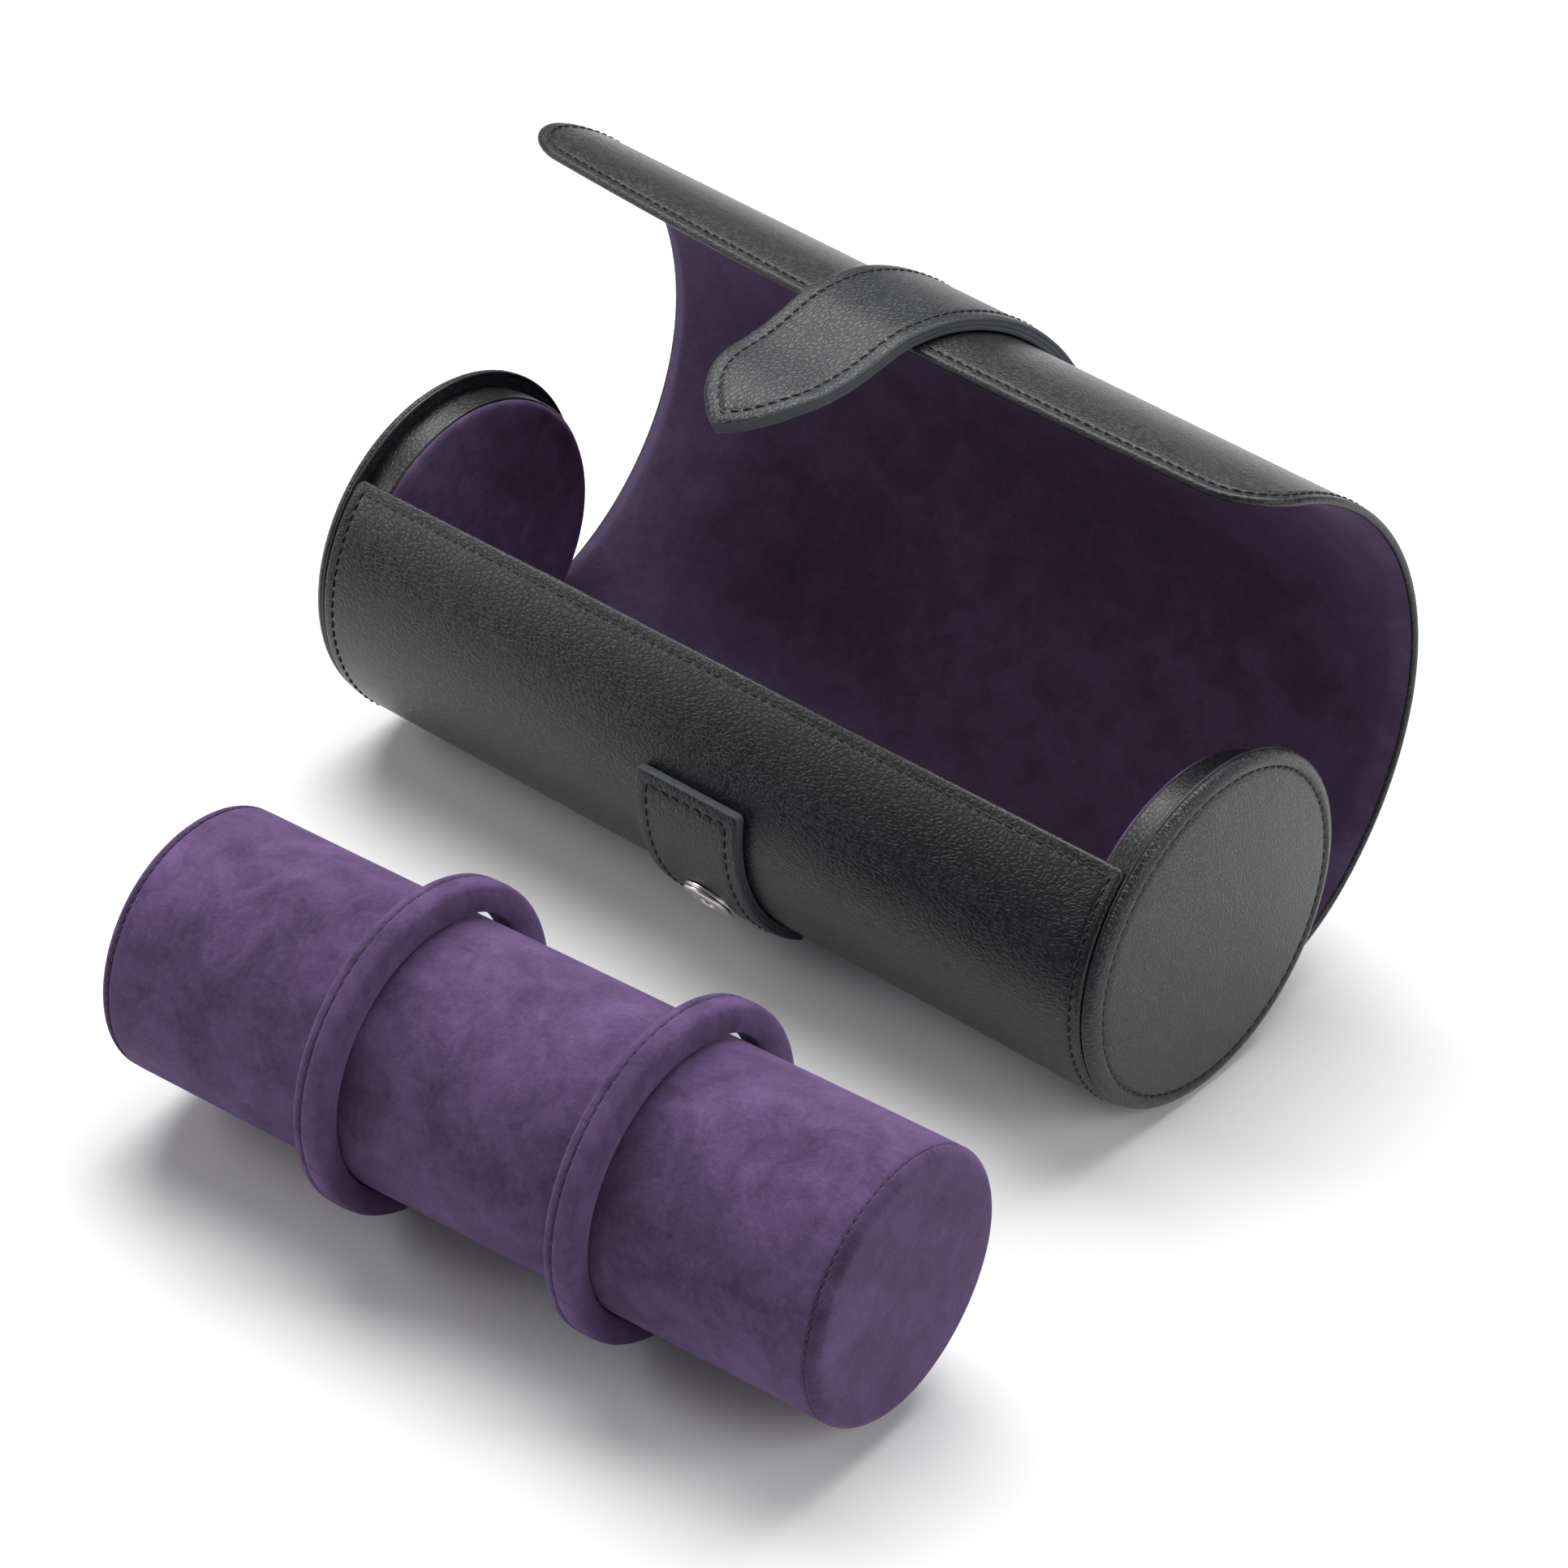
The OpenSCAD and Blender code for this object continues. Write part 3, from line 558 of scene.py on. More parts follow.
# %% Small finishes
def thread_finish(name, colour):
    """Twisted thread: slanting plies under a little fuzz."""
    n = Nodes(name)
    place = n.coords(True)
    ply = n.add("ShaderNodeTexWave", {"Vector": place, "Scale": 1.1, "Distortion": 0.6},
                bands_direction="DIAGONAL").outputs["Fac"]
    tone = n.weigh((ply, 0.6), (n.noise(place, 4.0, 2.0), 0.4))
    n.set(Base_Color=n.ramp(tone, [(0.2, shade(colour, 0.6)), (0.8, shade(colour, 1.3))]),
          Roughness=0.6, Normal=n.bump(tone, 0.08, 0.5))
    return n.material


def metal_finish(name, colour, roughness):
    """Pressed metal with a faint brushing and a few smudges."""
    n = Nodes(name)
    place = n.coords(False)
    brushed = n.noise(place, 1.4, 4.0, 0.7)
    smudge = n.noise(place, 0.25, 2.0)
    rough = n.remap(n.weigh((brushed, 0.5), (smudge, 0.5)), roughness - 0.08, roughness + 0.12)
    n.set(Base_Color=n.ramp(smudge, [(0.3, shade(colour, 0.92)), (0.7, colour)]), Metallic=1.0,
          Roughness=rough, Normal=n.bump(brushed, 0.02, 0.4))
    return n.material


def filling_finish(name, colour, scale, depth, pattern=False):
    """Board, card, foam or a cut edge: fibres of one size over larger patches."""
    n = Nodes(name)
    place = n.coords(pattern)
    fibre = n.noise(place, scale, 4.0, 0.7)
    tone = n.weigh((fibre, 0.6), (n.noise(place, scale * 0.12, 2.0), 0.4))
    n.set(Base_Color=n.ramp(tone, [(0.3, shade(colour, 0.78)), (0.7, shade(colour, 1.1))]),
          Roughness=0.9, Normal=n.bump(fibre, depth, 0.6))
    return n.material


black_thread = thread_finish("black_thread", (0.014, 0.014, 0.017))
violet_thread = thread_finish("violet_thread", (0.030, 0.015, 0.050))
nickel = metal_finish("nickel", (0.78, 0.76, 0.73), 0.28)
greyboard = filling_finish("greyboard", (0.33, 0.31, 0.28), 1.2, 0.10)
foam = filling_finish("foam", (0.72, 0.67, 0.55), 2.0, 0.25)
card = filling_finish("card", (0.40, 0.28, 0.16), 0.9, 0.10)
cut_edge = filling_finish("cut_edge", (0.060, 0.066, 0.078), 2.0, 0.12, pattern=True)
print("materials:", len(bpy.data.materials))

# %% [markdown]
# ## Carried-over solids
# The fillings, boards and metal keep the frame's own meshes, because their shapes are right.
# They only get their finish. They could be modelled again as the leather is, but nobody sees
# them, and a solid that is right needs no second shape.

# %% Finish of the frame's nodes
for name, node in frame["nodes"].items():
    if name.startswith("snap"):
        finish = nickel
    elif name.startswith(("strap_leather", "tongue", "tab")):
        finish = black_edge
    elif "board" in name or name.endswith(("_cap_plate", "_cap_core")):
        finish = greyboard
    elif name.endswith(("_foam", "ring_left_core", "ring_right_core")):
        finish = foam
    elif name == "cushion_tube":
        finish = card
    elif "filler" in name:
        finish = cut_edge
    elif "lining" in name or name.endswith("_pad"):
        finish = turned_suede
    elif name.startswith(("cushion", "ring")):
        finish = ring_suede
    else:
        finish = black_hide_turned
    node.data.materials.clear()
    node.data.materials.append(finish)
print("carried-over solids:", len(frame["nodes"]))

# %% [markdown]
# ## A sheet with a turned edge
# Real bound leather is turned round its board: the outer face sinks a little along the row of
# stitches, rolls round the edge and ends on the inner face. A bevel on a thin box could round the
# edge, but it has no place for the stitches. That section is the same all the way round the
# sheet, so it is written once as pairs of (inset from the edge, height), and swept along the
# outline.

# %% Edge section
EDGE_T, TURNED_IN = 1.9, 1.7
SEAM_INSET = 2.8
FACE_INSETS = (10.0, 8, 6.5, 5.4, 4.8, 4.4, 4.0, 3.6, 3.2, 2.8, 2.3)


def dent(d, seam, depth, width):
    """Height at inset d beside a row of stitches that pulls the leather down."""
    return -depth * math.exp(-((d - seam) / width) ** 2)


def edge_section(thick, inside, seam):
    """Pairs of (inset, height) from the outer face, round the edge, to the turned end inside."""
    r = thick / 2
    quarter = [math.radians(90 * k / 8) for k in range(9)]
    section = [(d, dent(d, seam, 0.22, 0.55)) for d in FACE_INSETS]
    section += [(r - r * math.sin(a), -r + r * math.cos(a)) for a in quarter]
    section += [(r - r * math.cos(a), -thick + r - r * math.sin(a)) for a in quarter]
    return section + [(r + 0.4, -thick), (inside, -thick)]


def section_run(section):
    """Length along a section up to each of its pairs, so how far its leather reaches when flat."""
    return np.concatenate([[0], np.cumsum(np.hypot(*np.diff(np.array(section), axis=0).T))])


leather_section = edge_section(EDGE_T, TURNED_IN, SEAM_INSET)
print(f"turned edge: {section_run(leather_section)[-1]:.1f} mm of leather")

# %% [markdown]
# ### The outline and the middle
# A pattern cutter draws the outline first. `box_path` does the same: it runs up one side, round
# the corners and down the other side, at any inset, always with the same number of points, so the
# outlines at all insets join up into rows of faces. The middle is filled by `coons`, which blends
# four sides. A boolean cut would leave long thin faces there, and they would show on the bends.


# %% Outline and middle
def box_path(half, s0, s1, corner, inset, counts, bow=0.0):
    """Open path of (x, s) round a sheet's free end, from the left border to the right one.
    s0 gives the border for a place across, s1 the free edge's middle; corner rounds both ends."""
    sign = 1 if s1 > s0(0) else -1
    side_n, corner_n, front_n = counts
    c = max(corner, inset)
    r = c - inset
    h = half - inset

    def end(x):
        return s1 - sign * (bow * (x / half) ** 2 + inset)

    centre_s = end(half - c) - sign * r
    path = [(-h, s0(-h) + (centre_s - s0(-h)) * k / side_n) for k in range(side_n)]
    for k in range(corner_n):
        a = math.radians(180 - 90 * k / corner_n)
        path.append((c - half + r * math.cos(a), centre_s + sign * r * math.sin(a)))
    for x in np.linspace(c - half, half - c, front_n + 1):
        path.append((x, end(x)))
    for k in range(corner_n):
        a = math.radians(90 - 90 * (k + 1) / corner_n)
        path.append((half - c + r * math.cos(a), centre_s + sign * r * math.sin(a)))
    path += [(h, centre_s + (s0(h) - centre_s) * (k + 1) / side_n) for k in range(side_n)]
    return np.array(path, float)


def coons(left, top, right, bottom):
    """Grid that fills four sides. Left and right run up, top and bottom run to the right."""
    rows, columns = len(left), len(top)
    u = np.linspace(0, 1, columns)[None, :, None]
    v = np.linspace(0, 1, rows)[:, None, None]
    sides = (1 - u) * left[:, None] + u * right[:, None]
    ends = (1 - v) * bottom[None] + v * top[None]
    corners = ((1 - u) * (1 - v) * bottom[0] + u * (1 - v) * bottom[-1]
               + (1 - u) * v * top[0] + u * v * top[-1])
    return sides + ends - corners


square = np.array([[0.0, 0.0], [0.0, 1.0], [1.0, 0.0], [1.0, 1.0]])
filled = coons(square[:2], square[1::2], square[2:], square[::2])
print("a filled square's corners:", filled.reshape(-1, 2).tolist())

# %% [markdown]
# ### From outlines to a mesh
# A sheet's mesh is its rows of outlines, one for each pair of the section, and the filled middle.
# Next to each point goes its place on the flat leather, which becomes the UV map. The sheets
# could be unwrapped later instead, but then the grain would stretch at the bends.

# %% Sheet mesh
CUT_INSET = 0.3
SAME = 1e-6


def sheet_mesh(loops, section, surface, side):
    """Points, faces and pattern of a sheet whose outline at each inset is one of loops.
    The first side points of an outline are its left side."""
    flat, points = [], []
    columns = len(loops[0])
    away = loops[int(np.argmin([d for d, h in section]))] - loops[0]
    away /= np.linalg.norm(away, axis=1, keepdims=True)
    for loop, (_, h), run in zip(loops, section, section_run(section)):
        flat.append(loops[0] + away * run)
        points.append(surface(loop[:, 0], loop[:, 1], h))
    faces = grid_faces(len(loops), columns, flip=True)
    apart = np.concatenate([[True], np.hypot(*np.diff(loops[0], axis=0).T) > SAME])
    inner = loops[0][apart]
    side = int(apart[:side].sum())
    left, right = inner[:side], inner[::-1][:side]
    top = inner[side - 1:len(inner) - side + 1]
    t = np.linspace(0, 1, len(top))[:, None]
    patch = coons(left, top, right, left[0] * (1 - t) + right[0] * t)
    flat.append(patch.reshape(-1, 2))
    points.append(surface(patch[..., 0], patch[..., 1], section[0][1]).reshape(-1, 3))
    faces += grid_faces(patch.shape[0], patch.shape[1], len(loops) * columns, flip=True)
    return np.concatenate(points), faces, np.concatenate(flat)


def cut_rows(section):
    """Steps of a section that lie on a sheet's cut side, which is where the inset is small."""
    return [i for i in range(len(section) - 1)
            if max(section[i][0], section[i + 1][0]) < CUT_INSET]


print("steps of the turned edge at its outermost:", len(cut_rows(leather_section)))

# %% [markdown]
# ### Three kinds of sheet
# A real sheet ends in a free edge or runs on into the next stretch. `outlined_sheet` takes any
# rows of outlines, `ended_sheet` draws them for a box with rounded corners, and `strip_sheet`
# makes a stretch between two borders. One function for all three could do it too, but short ones
# are easier to read.

# %% Kinds of sheet
MIDDLE_COLUMNS = 38


def outlined_sheet(name, loops, section, surface, side, turned_over, material, slot, edge=None,
                   **where):
    """A sheet inside any rows of outlines."""
    points, faces, flat = sheet_mesh(loops, section, surface, side)
    if turned_over:
        faces = [face[::-1] for face in faces]
    columns = len(loops[0]) - 1
    cut = [i * columns + j for i in cut_rows(section) for j in range(columns)] if edge else ()
    return piece(name, points, faces, flat, material, slot, edge=edge, side=cut, **where)


def ended_sheet(name, half, s0, s1, corner, section, surface, counts, material, slot, bow=0.0,
                edge=None, **where):
    """A sheet with one free end and a hidden border at s0."""
    loops = [box_path(half, s0, s1, corner, inset, counts, bow) for inset, h in section]
    side = counts[0] + counts[1] // 2 + 1
    return outlined_sheet(name, loops, section, surface, side, s1 < s0(0), material, slot, edge,
                          **where)


def strip_sheet(name, half, s0, s1, rows, section, surface, material, slot, edge=None, **where):
    """A stretch of sheet with two free sides, between the borders s0 and s1."""
    points, flat = [], []
    insets = np.array([d for d, h in section])
    heights = np.array([h for d, h in section])
    columns = 2 * len(section) + MIDDLE_COLUMNS
    h = np.concatenate([heights[::-1], np.full(MIDDLE_COLUMNS, heights[0]), heights])
    run = section_run(section)
    for v in np.linspace(0, 1, rows):
        width = half(float(s0(0) + (s1(0) - s0(0)) * v))
        inner = width - insets[0]
        middle = np.linspace(-inner, inner, MIDDLE_COLUMNS + 2)[1:-1]
        x = np.concatenate([-(width - insets[::-1]), middle, width - insets])
        s = s0(x) + (s1(x) - s0(x)) * v
        unrolled = np.concatenate([-(inner + run[::-1]), middle, inner + run])
        flat.append(np.stack([unrolled, s], axis=-1))
        points.append(surface(x, s, h))
    faces = grid_faces(rows, columns, flip=True)
    low = cut_rows(section) if edge else []
    at = [len(section) - 2 - i for i in low] + [len(section) + MIDDLE_COLUMNS + i for i in low]
    cut = [row * (columns - 1) + j for row in range(rows - 1) for j in at]
    return piece(name, np.concatenate(points), faces, np.concatenate(flat), material, slot,
                 edge=edge, side=cut, **where)


print("rows of points round a turned sheet:", len(leather_section))

# %% [markdown]
# ### Pieces at a joint
# The frame's solids turn about sharp lines, and real leather bends over a stretch. It could be
# done with hand-painted vertex weights. The functions here are given a joint and the two ends of
# such a stretch, but they only bake the piece's place into its mesh; nothing bends it.


# %% Baking pieces in place
def bend_between(made, joint_name, before, after):
    """Takes a joint and the two ends of a bend, but only bakes the piece's place into its mesh."""
    axis = np.array(joints[joint_name]["axis"])
    along = after - before
    along -= (along @ axis) * axis
    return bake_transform(made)


def bend_with(made, k):
    """Gives the flap's line k and the ends of its stretch to bend_between, which only bakes the piece."""
    name = "flap_hinge" if k == 0 else f"flap_bend_{k}"
    before = sheet_point(0, k * PANEL - ZONES[k], 0)
    after = sheet_point(0, k * PANEL + ZONES[k], 0)
    return bend_between(made, name, before, after)


def bend_root(made):
    """Gives the tongue's root, over the flap's front edge, to bend_between, which only bakes the piece."""
    return bend_between(made, "tongue_flex",
                        strap_point(0, -FLEX_ZONE, 0), strap_point(0, FLEX_ZONE, 0))


def bend_tongue(made):
    """Gives the middle of the tongue to bend_between, which only bakes the piece."""
    return bend_between(made, "tongue_bend",
                        strap_point(0, BEND_FROM, 0), strap_point(0, BEND_TO, 0))


print("lengths that bend on the flap:", [2 * zone for zone in ZONES])

# %% [markdown]
# ## The wrap and the flap
# The leather is cut into a wrap, five strips that each lie over one line of the frame, and the
# flap's front. They meet in the middle of the stiff panels. One long mesh with bones could bend;
# here the wrap rides on the case, the front on the last panel, and the strips on no body.

# %% Outer leather
BORDER_S = -11.0
FRONT_S = -math.radians(HINGE_DEG - FRONT_DEG) * CASE_R
WRAP_CORNER = 1.9
WRAP_COUNTS, FRONT_COUNTS, STRIP_ROWS = (60, 4, 80), (6, 12, 80), 26
PAST_ZONE = 0.2
borders = [BORDER_S, PANEL / 2, PANEL * 1.5, PANEL * 2.5, PANEL * 3.5,
           PANEL * 4 + ZONES[4] + PAST_ZONE]


def line_at(s):
    """Border line at s, slanted like the flap's bend lines once it is on the flap."""
    slant = SLOPE if s > 0 else 0.0
    return lambda x: s + np.asarray(x) * slant


def flap_side(s):
    """Half of the flap's width, the same all along."""
    return WRAP_HALF


ended_sheet("wrap_outer_leather", WRAP_HALF, line_at(BORDER_S), FRONT_S, WRAP_CORNER,
            leather_section, sheet_point, WRAP_COUNTS, black_hide, "black_leather", body="case",
            replaces=["wrap_leather", "wrap_board"])
for k in range(PANELS):
    strip = strip_sheet(f"flap_outer_leather_{k + 1}", flap_side, line_at(borders[k]),
                        line_at(borders[k + 1]), STRIP_ROWS, leather_section, sheet_point,
                        black_hide, "black_leather",
                        replaces=[f"flap_leather_{k + 1}", f"flap_board_{k + 1}"] if k < 4 else [])
    bend_with(strip, k)
ended_sheet("flap_front_leather", WRAP_HALF, line_at(borders[5]), FLAP_LEN, CORNER_R,
            leather_section, sheet_point, FRONT_COUNTS, black_hide, "black_leather", BOW,
            body="flap_panel_5", replaces=["flap_leather_5", "flap_board_5"])
print(f"leather is {-FRONT_S:.1f} mm long on the wrap and {FLAP_LEN:.1f} mm on the flap")

# %% [markdown]
# ## The lining
# The suede is glued to the inside and sewn down just short of the leather's edge, so it is thin
# at its border and swells over its padding further in. It could be a copy of the leather moved
# inwards, but then its border would have the leather's round edge. It is a sheet of its own with
# its own section, and its faces are turned to look into the case.

# %% Lining
LINING_GAP, LINING_SWELL = 0.9, 5.0
LINING_CORNER = 3
LIP_RISE, LIP_RUN = 0.3, 1.2


def lining_height(d):
    """Height of the lining's face at a distance from its border, where it is pressed thin."""
    lip = LIP_RISE * smooth(d / LIP_RUN)
    return -(EDGE_T + lip + (SHEET_T - EDGE_T) * smooth(d / LINING_SWELL))


def inward(sheet):
    """Turns a sheet's faces to look into the case."""
    sheet.data.flip_normals()
    return sheet


lining_section = [(d + LINING_GAP, lining_height(d))
                  for d in (9, 7, 5.5, 4.5, 3.5, 2.6, 1.8, 1.2, 0.8, 0.4, 0.15)]
lining_section += [(LINING_GAP, 0.12 - EDGE_T), (LINING_GAP, 0.7 - EDGE_T)]
inward(ended_sheet("wrap_suede_lining", WRAP_HALF, line_at(BORDER_S), FRONT_S, LINING_CORNER,
                   lining_section, sheet_point, WRAP_COUNTS, lining_suede_shaded, "dark_suede",
                   body="case", replaces=["wrap_lining"]))
for k in range(PANELS):
    strip = strip_sheet(f"flap_suede_lining_{k + 1}", flap_side, line_at(borders[k]),
                        line_at(borders[k + 1]), STRIP_ROWS, lining_section, sheet_point,
                        lining_suede_shaded, "dark_suede",
                        replaces=[f"flap_lining_{k + 1}"] if k < 4 else [])
    bend_with(inward(strip), k)
inward(ended_sheet("flap_front_lining", WRAP_HALF, line_at(borders[5]), FLAP_LEN, CORNER_R,
                   lining_section, sheet_point, FRONT_COUNTS, lining_suede_shaded, "dark_suede", BOW,
                   body="flap_panel_5", replaces=["flap_lining_5"]))

# %% [markdown]
# ## Leather with a cut edge
# The strap, its tongue and the tab are two layers of leather glued back to back, cut through
# together and burnished, so their edges are flat and show the layers. A texture could fake the
# layers, but the edge is seen from near, so two shallow grooves are part of the section, and the
# cut side is a row of faces with its own finish.

# %% Cut section
STRAP_SEAM = 3.3
GLUE_LINES = (0.36, 0.66)


def cut_section(thick):
    """Pairs of (inset, height) of a strap with a cut and burnished edge."""
    section = [(d, dent(d, STRAP_SEAM, 0.2, 0.5)) for d in (8.0, 6, 4.8, 4.2, 3.8, 3.3, 2.8, 2.4, 1.6)]
    section += [(0.9, -0.03), (0.5, -0.1), (0.22, -0.22), (0.05, -0.42), (0.0, -0.7)]
    for at in [thick * share for share in GLUE_LINES]:
        section += [(0.0, -at + 0.16), (0.16, -at), (0.0, -at - 0.16)]
    section += [(0.0, -thick + 0.5), (0.08, -thick + 0.2), (0.28, -thick + 0.04)]
    return section + [(0.7, -thick), (2.6, -thick)]


strap_section = cut_section(STRAP_T)
print("steps on the strap's cut side:", len(cut_rows(strap_section)))

# %% [markdown]
# ### Where the strap is divided
# The strap is sewn to the flap's back and runs over its front. It is divided over the middles of
# the flap's panels, as the flap is, and again on the free tongue. The tongue's point is two arcs,
# as a strap maker's punch cuts it. The dividing lines could be square to the strap, but they have
# to slant with the flap's lines, or the parts would slide on each other.

# %% Borders and the tongue's outline
CURVE_T = TONGUE_LEN - math.sqrt(TONGUE_SIDE_R ** 2 - (TONGUE_SIDE_R - TONGUE_HALF) ** 2)
SEWN_T = (STRAP_START - FLEX) * STRAP_R


def tongue_path(inset, start, side_n, arc_n):
    """Path of (x, t) round the tongue's tip, from the left side at start to the right one."""
    r = TONGUE_SIDE_R - inset
    away = TONGUE_SIDE_R - TONGUE_HALF
    left = [(inset - float(strap_half(t)), t)
            for t in np.linspace(start, CURVE_T, side_n, endpoint=False)]
    left += [(away - r * math.cos(a), CURVE_T + r * math.sin(a))
             for a in np.linspace(0, math.acos(away / r), arc_n)]
    return np.array(left + [(-x, t) for x, t in left[-2::-1]], float)


def strap_border(s):
    """Border on the strap over the flap's border s."""
    t = (FLAP_A0 + s / FLAP_R - FLEX) * STRAP_R
    return lambda x: t + (np.asarray(x) + STRAP_X) * SLOPE * STRAP_R / FLAP_R


def level(t):
    """Border square to the strap."""
    return lambda x: t + 0 * np.asarray(x)


strap_borders = [strap_border(PANEL * 3.5), strap_border(PANEL * 4.5), level(BEND_FROM)]
print("strap is divided at", [round(float(b(0)), 1) for b in strap_borders])

# %% [markdown]
# ### The strap and its tongue
# Four stretches make the visible leather: the sewn end, the part over the flap, the tongue's root
# and the tongue.

# %% Strap and tongue
CUT_CORNER = 1.2
SIDE_POINTS, ARC_POINTS = 22, 18
looks = dict(edge=cut_edge)
sewn = ended_sheet("strap_sewn_end", STRAP_HALF, strap_borders[0], SEWN_T, CUT_CORNER,
                   strap_section, strap_point, (30, 4, 24), strap_hide, "black_leather",
                   replaces=["strap_leather_3", "strap_filler_3"], **looks)
bend_with(sewn, 3)
middle = strip_sheet("strap_over_flap", strap_half, strap_borders[0], strap_borders[1], 30,
                     strap_section, strap_point, strap_hide, "black_leather",
                     replaces=["strap_leather_4", "strap_filler_4"], **looks)
bend_with(middle, 4)
root = strip_sheet("strap_tongue_root", strap_half, strap_borders[1], strap_borders[2], 24,
                   strap_section, strap_point, strap_hide, "black_leather",
                   replaces=["strap_leather_5", "strap_filler_5"], **looks)
bend_root(root)
tip_loops = [tongue_path(d, BEND_FROM, SIDE_POINTS, ARC_POINTS) for d, h in strap_section]
left_points = SIDE_POINTS + ARC_POINTS // 2
tip = outlined_sheet("strap_tongue", tip_loops, strap_section, strap_point, left_points, False,
                     strap_hide, "black_leather",
                     replaces=["tongue_root_leather", "tongue_root_filler",
                               "tongue_leather", "tongue_filler"], **looks)
bend_tongue(tip)
print(f"strap is {TONGUE_LEN - SEWN_T:.1f} mm long")

# %% [markdown]
# ### The tongue's underside
# From below the tongue is leather too. The strap's section ends a little way in from its edge on
# the lower side, because most of that side lies hidden on the flap. It could be closed all along,
# but only the free tongue needs it, so two thin sheets close it there, up to just under the
# flap's edge. Their faces are turned down.

# %% Underside
UNDER_START, UNDER_SINK = 3.0, 0.05
under_section = [(d, UNDER_SINK - STRAP_T) for d in (8, 6, 4, 3, 2)]
root_under = strip_sheet("tongue_root_under", strap_half, level(-UNDER_START), level(BEND_FROM),
                         16, under_section, strap_point, strap_hide, "black_leather",
                         replaces=["tongue_root_lining"])
bend_root(inward(root_under))
under_loops = [tongue_path(d, BEND_FROM, SIDE_POINTS, ARC_POINTS) for d, h in under_section]
tip_under = outlined_sheet("tongue_under", under_loops, under_section, strap_point, left_points,
                           False, strap_hide, "black_leather", replaces=["tongue_lining"])
bend_tongue(inward(tip_under))
print("underside faces:", len(root_under.data.polygons) + len(tip_under.data.polygons))

# %% [markdown]
# ### The tab
# The tab is a short strap on the front wall that carries the snap's lower half. It doesn't bend,
# so it could be one box with a bevel. It is made of the same cut section as the strap, in an
# upper and a lower half, because `ended_sheet` has one free end.

# %% Tab
TAB_COUNTS = (20, 4, 24)
tab_section = cut_section(TAB_T)
tab_end = (TAB_LOW - TAB_TOP) / 2 * TAB_R
ended_sheet("tab_upper", TAB_HALF, level(0), -tab_end, CUT_CORNER, tab_section, tab_point,
            TAB_COUNTS, strap_hide, "black_leather", body="case",
            replaces=["tab_leather", "tab_filler"], **looks)
ended_sheet("tab_lower", TAB_HALF, level(0), tab_end, CUT_CORNER, tab_section, tab_point,
            TAB_COUNTS, strap_hide, "black_leather", body="case", **looks)
print(f"tab is {2 * tab_end:.1f} mm long")

# %% [markdown]
# ## Round pieces
# The end discs, their pipings, the inner bands and pads, the cushion and its rings are all
# turned: a profile of (radius, place along the axis) goes round an axis. Blender's screw modifier
# could turn them, but it gives no flat pattern for the grain. Leather and suede are never
# perfectly round, so a slow noise on the radius keeps the suede pieces from looking machined. It
# dies out towards the axis, inside the radius `STILL_R`.

# %% Turned pieces
WAVES = 9
STILL_R = 20


def slow_noise(angle, x, seed):
    """A smooth wobble from about -1 to 1 that closes round the axis."""
    rng = np.random.default_rng(seed)
    total = 0 * angle
    for _ in range(WAVES):
        around, along = rng.integers(1, 6), rng.uniform(-0.07, 0.07)
        total = total + np.sin(around * angle + along * x + rng.uniform(0, 6.3)) / 4
    return total


def turned(name, profile, place, material, slot, inside, disc=False, segments=168, wobble=0.0,
           seed=1, **where):
    """A profile of (radius, x) turned about the local X axis; inside is a point behind its skin.
    A disc takes its pattern from the front, anything else from its unrolled wall."""
    profile = np.array(profile, float)
    angle = np.linspace(0, 2 * math.pi, segments + 1)[None, :]
    r, x = profile[:, :1], profile[:, 1:]
    r = r + wobble * slow_noise(angle, x, seed) * np.minimum(r / STILL_R, 1)
    local = np.stack([x + 0 * angle, r * np.cos(angle), r * np.sin(angle)], axis=-1)
    length = np.concatenate([[0], np.cumsum(np.hypot(*np.diff(profile, axis=0).T))])[:, None]
    wall = np.stack([angle * profile[:, 0].max() + 0 * r, length + 0 * angle], axis=-1)
    flat = local[..., 1:] if disc else wall
    points = place(local).reshape(-1, 3)
    faces = grid_faces(len(profile), segments + 1)
    corner = points[np.array(faces)]
    normal = np.cross(corner[:, 2] - corner[:, 0], corner[:, 3] - corner[:, 1])
    away = np.einsum("ij,ij->", normal, corner.mean(axis=1) - place(np.array(inside, float)))
    if away < 0:
        faces = [face[::-1] for face in faces]
    return piece(name, points, faces, flat.reshape(-1, 2), material, slot, **where)


def arc(r, x, size, a0, a1, steps):
    """Points of a round corner of a profile, around (r, x)."""
    return [(r + size * math.cos(a), x + size * math.sin(a))
            for a in np.radians(np.linspace(a0, a1, steps))]


print("a quarter of a circle as a profile:", np.round(arc(10, 0, 1, 0, 90, 3), 2).tolist())

# %% [markdown]
# ### The end discs' faces
# Each end of the case is a stiff plate with foam and leather over it. The leather domes over the
# foam, is pulled down by a circle of stitches and rolls over the rim, and a thin piping hides
# where it meets the wrap. Sculpting could do this, but the numbers of a profile are easier to
# match to a photo.

# %% Face profile
CASE_HALF, PLATE_X = 114.2, 111.5
FACE_SEAM, DOME, DOME_R = 37.9, 1.3, 37.2
PIPING_R, PIPING_X, PIPING_SIZE = 41.1, 111.35, 0.45
BAND_R = 37.88
face_profile = [(r, CASE_HALF + DOME * (1 - (r / DOME_R) ** 2.4))
                for r in (0, 5, 10, 15, 20, 24, 28, 31, 33.5, 35.4, 36.6)]
face_profile += [(DOME_R, CASE_HALF - 0.12), (37.6, CASE_HALF - 0.32), (FACE_SEAM, CASE_HALF - 0.45),
                 (38.2, CASE_HALF - 0.28), (38.5, CASE_HALF - 0.08)]
face_profile += [(38.6 + 2.9 * math.cos(a), CASE_HALF - 2.2 + 2.25 * math.sin(a))
                 for a in np.radians(range(84, -1, -12))]
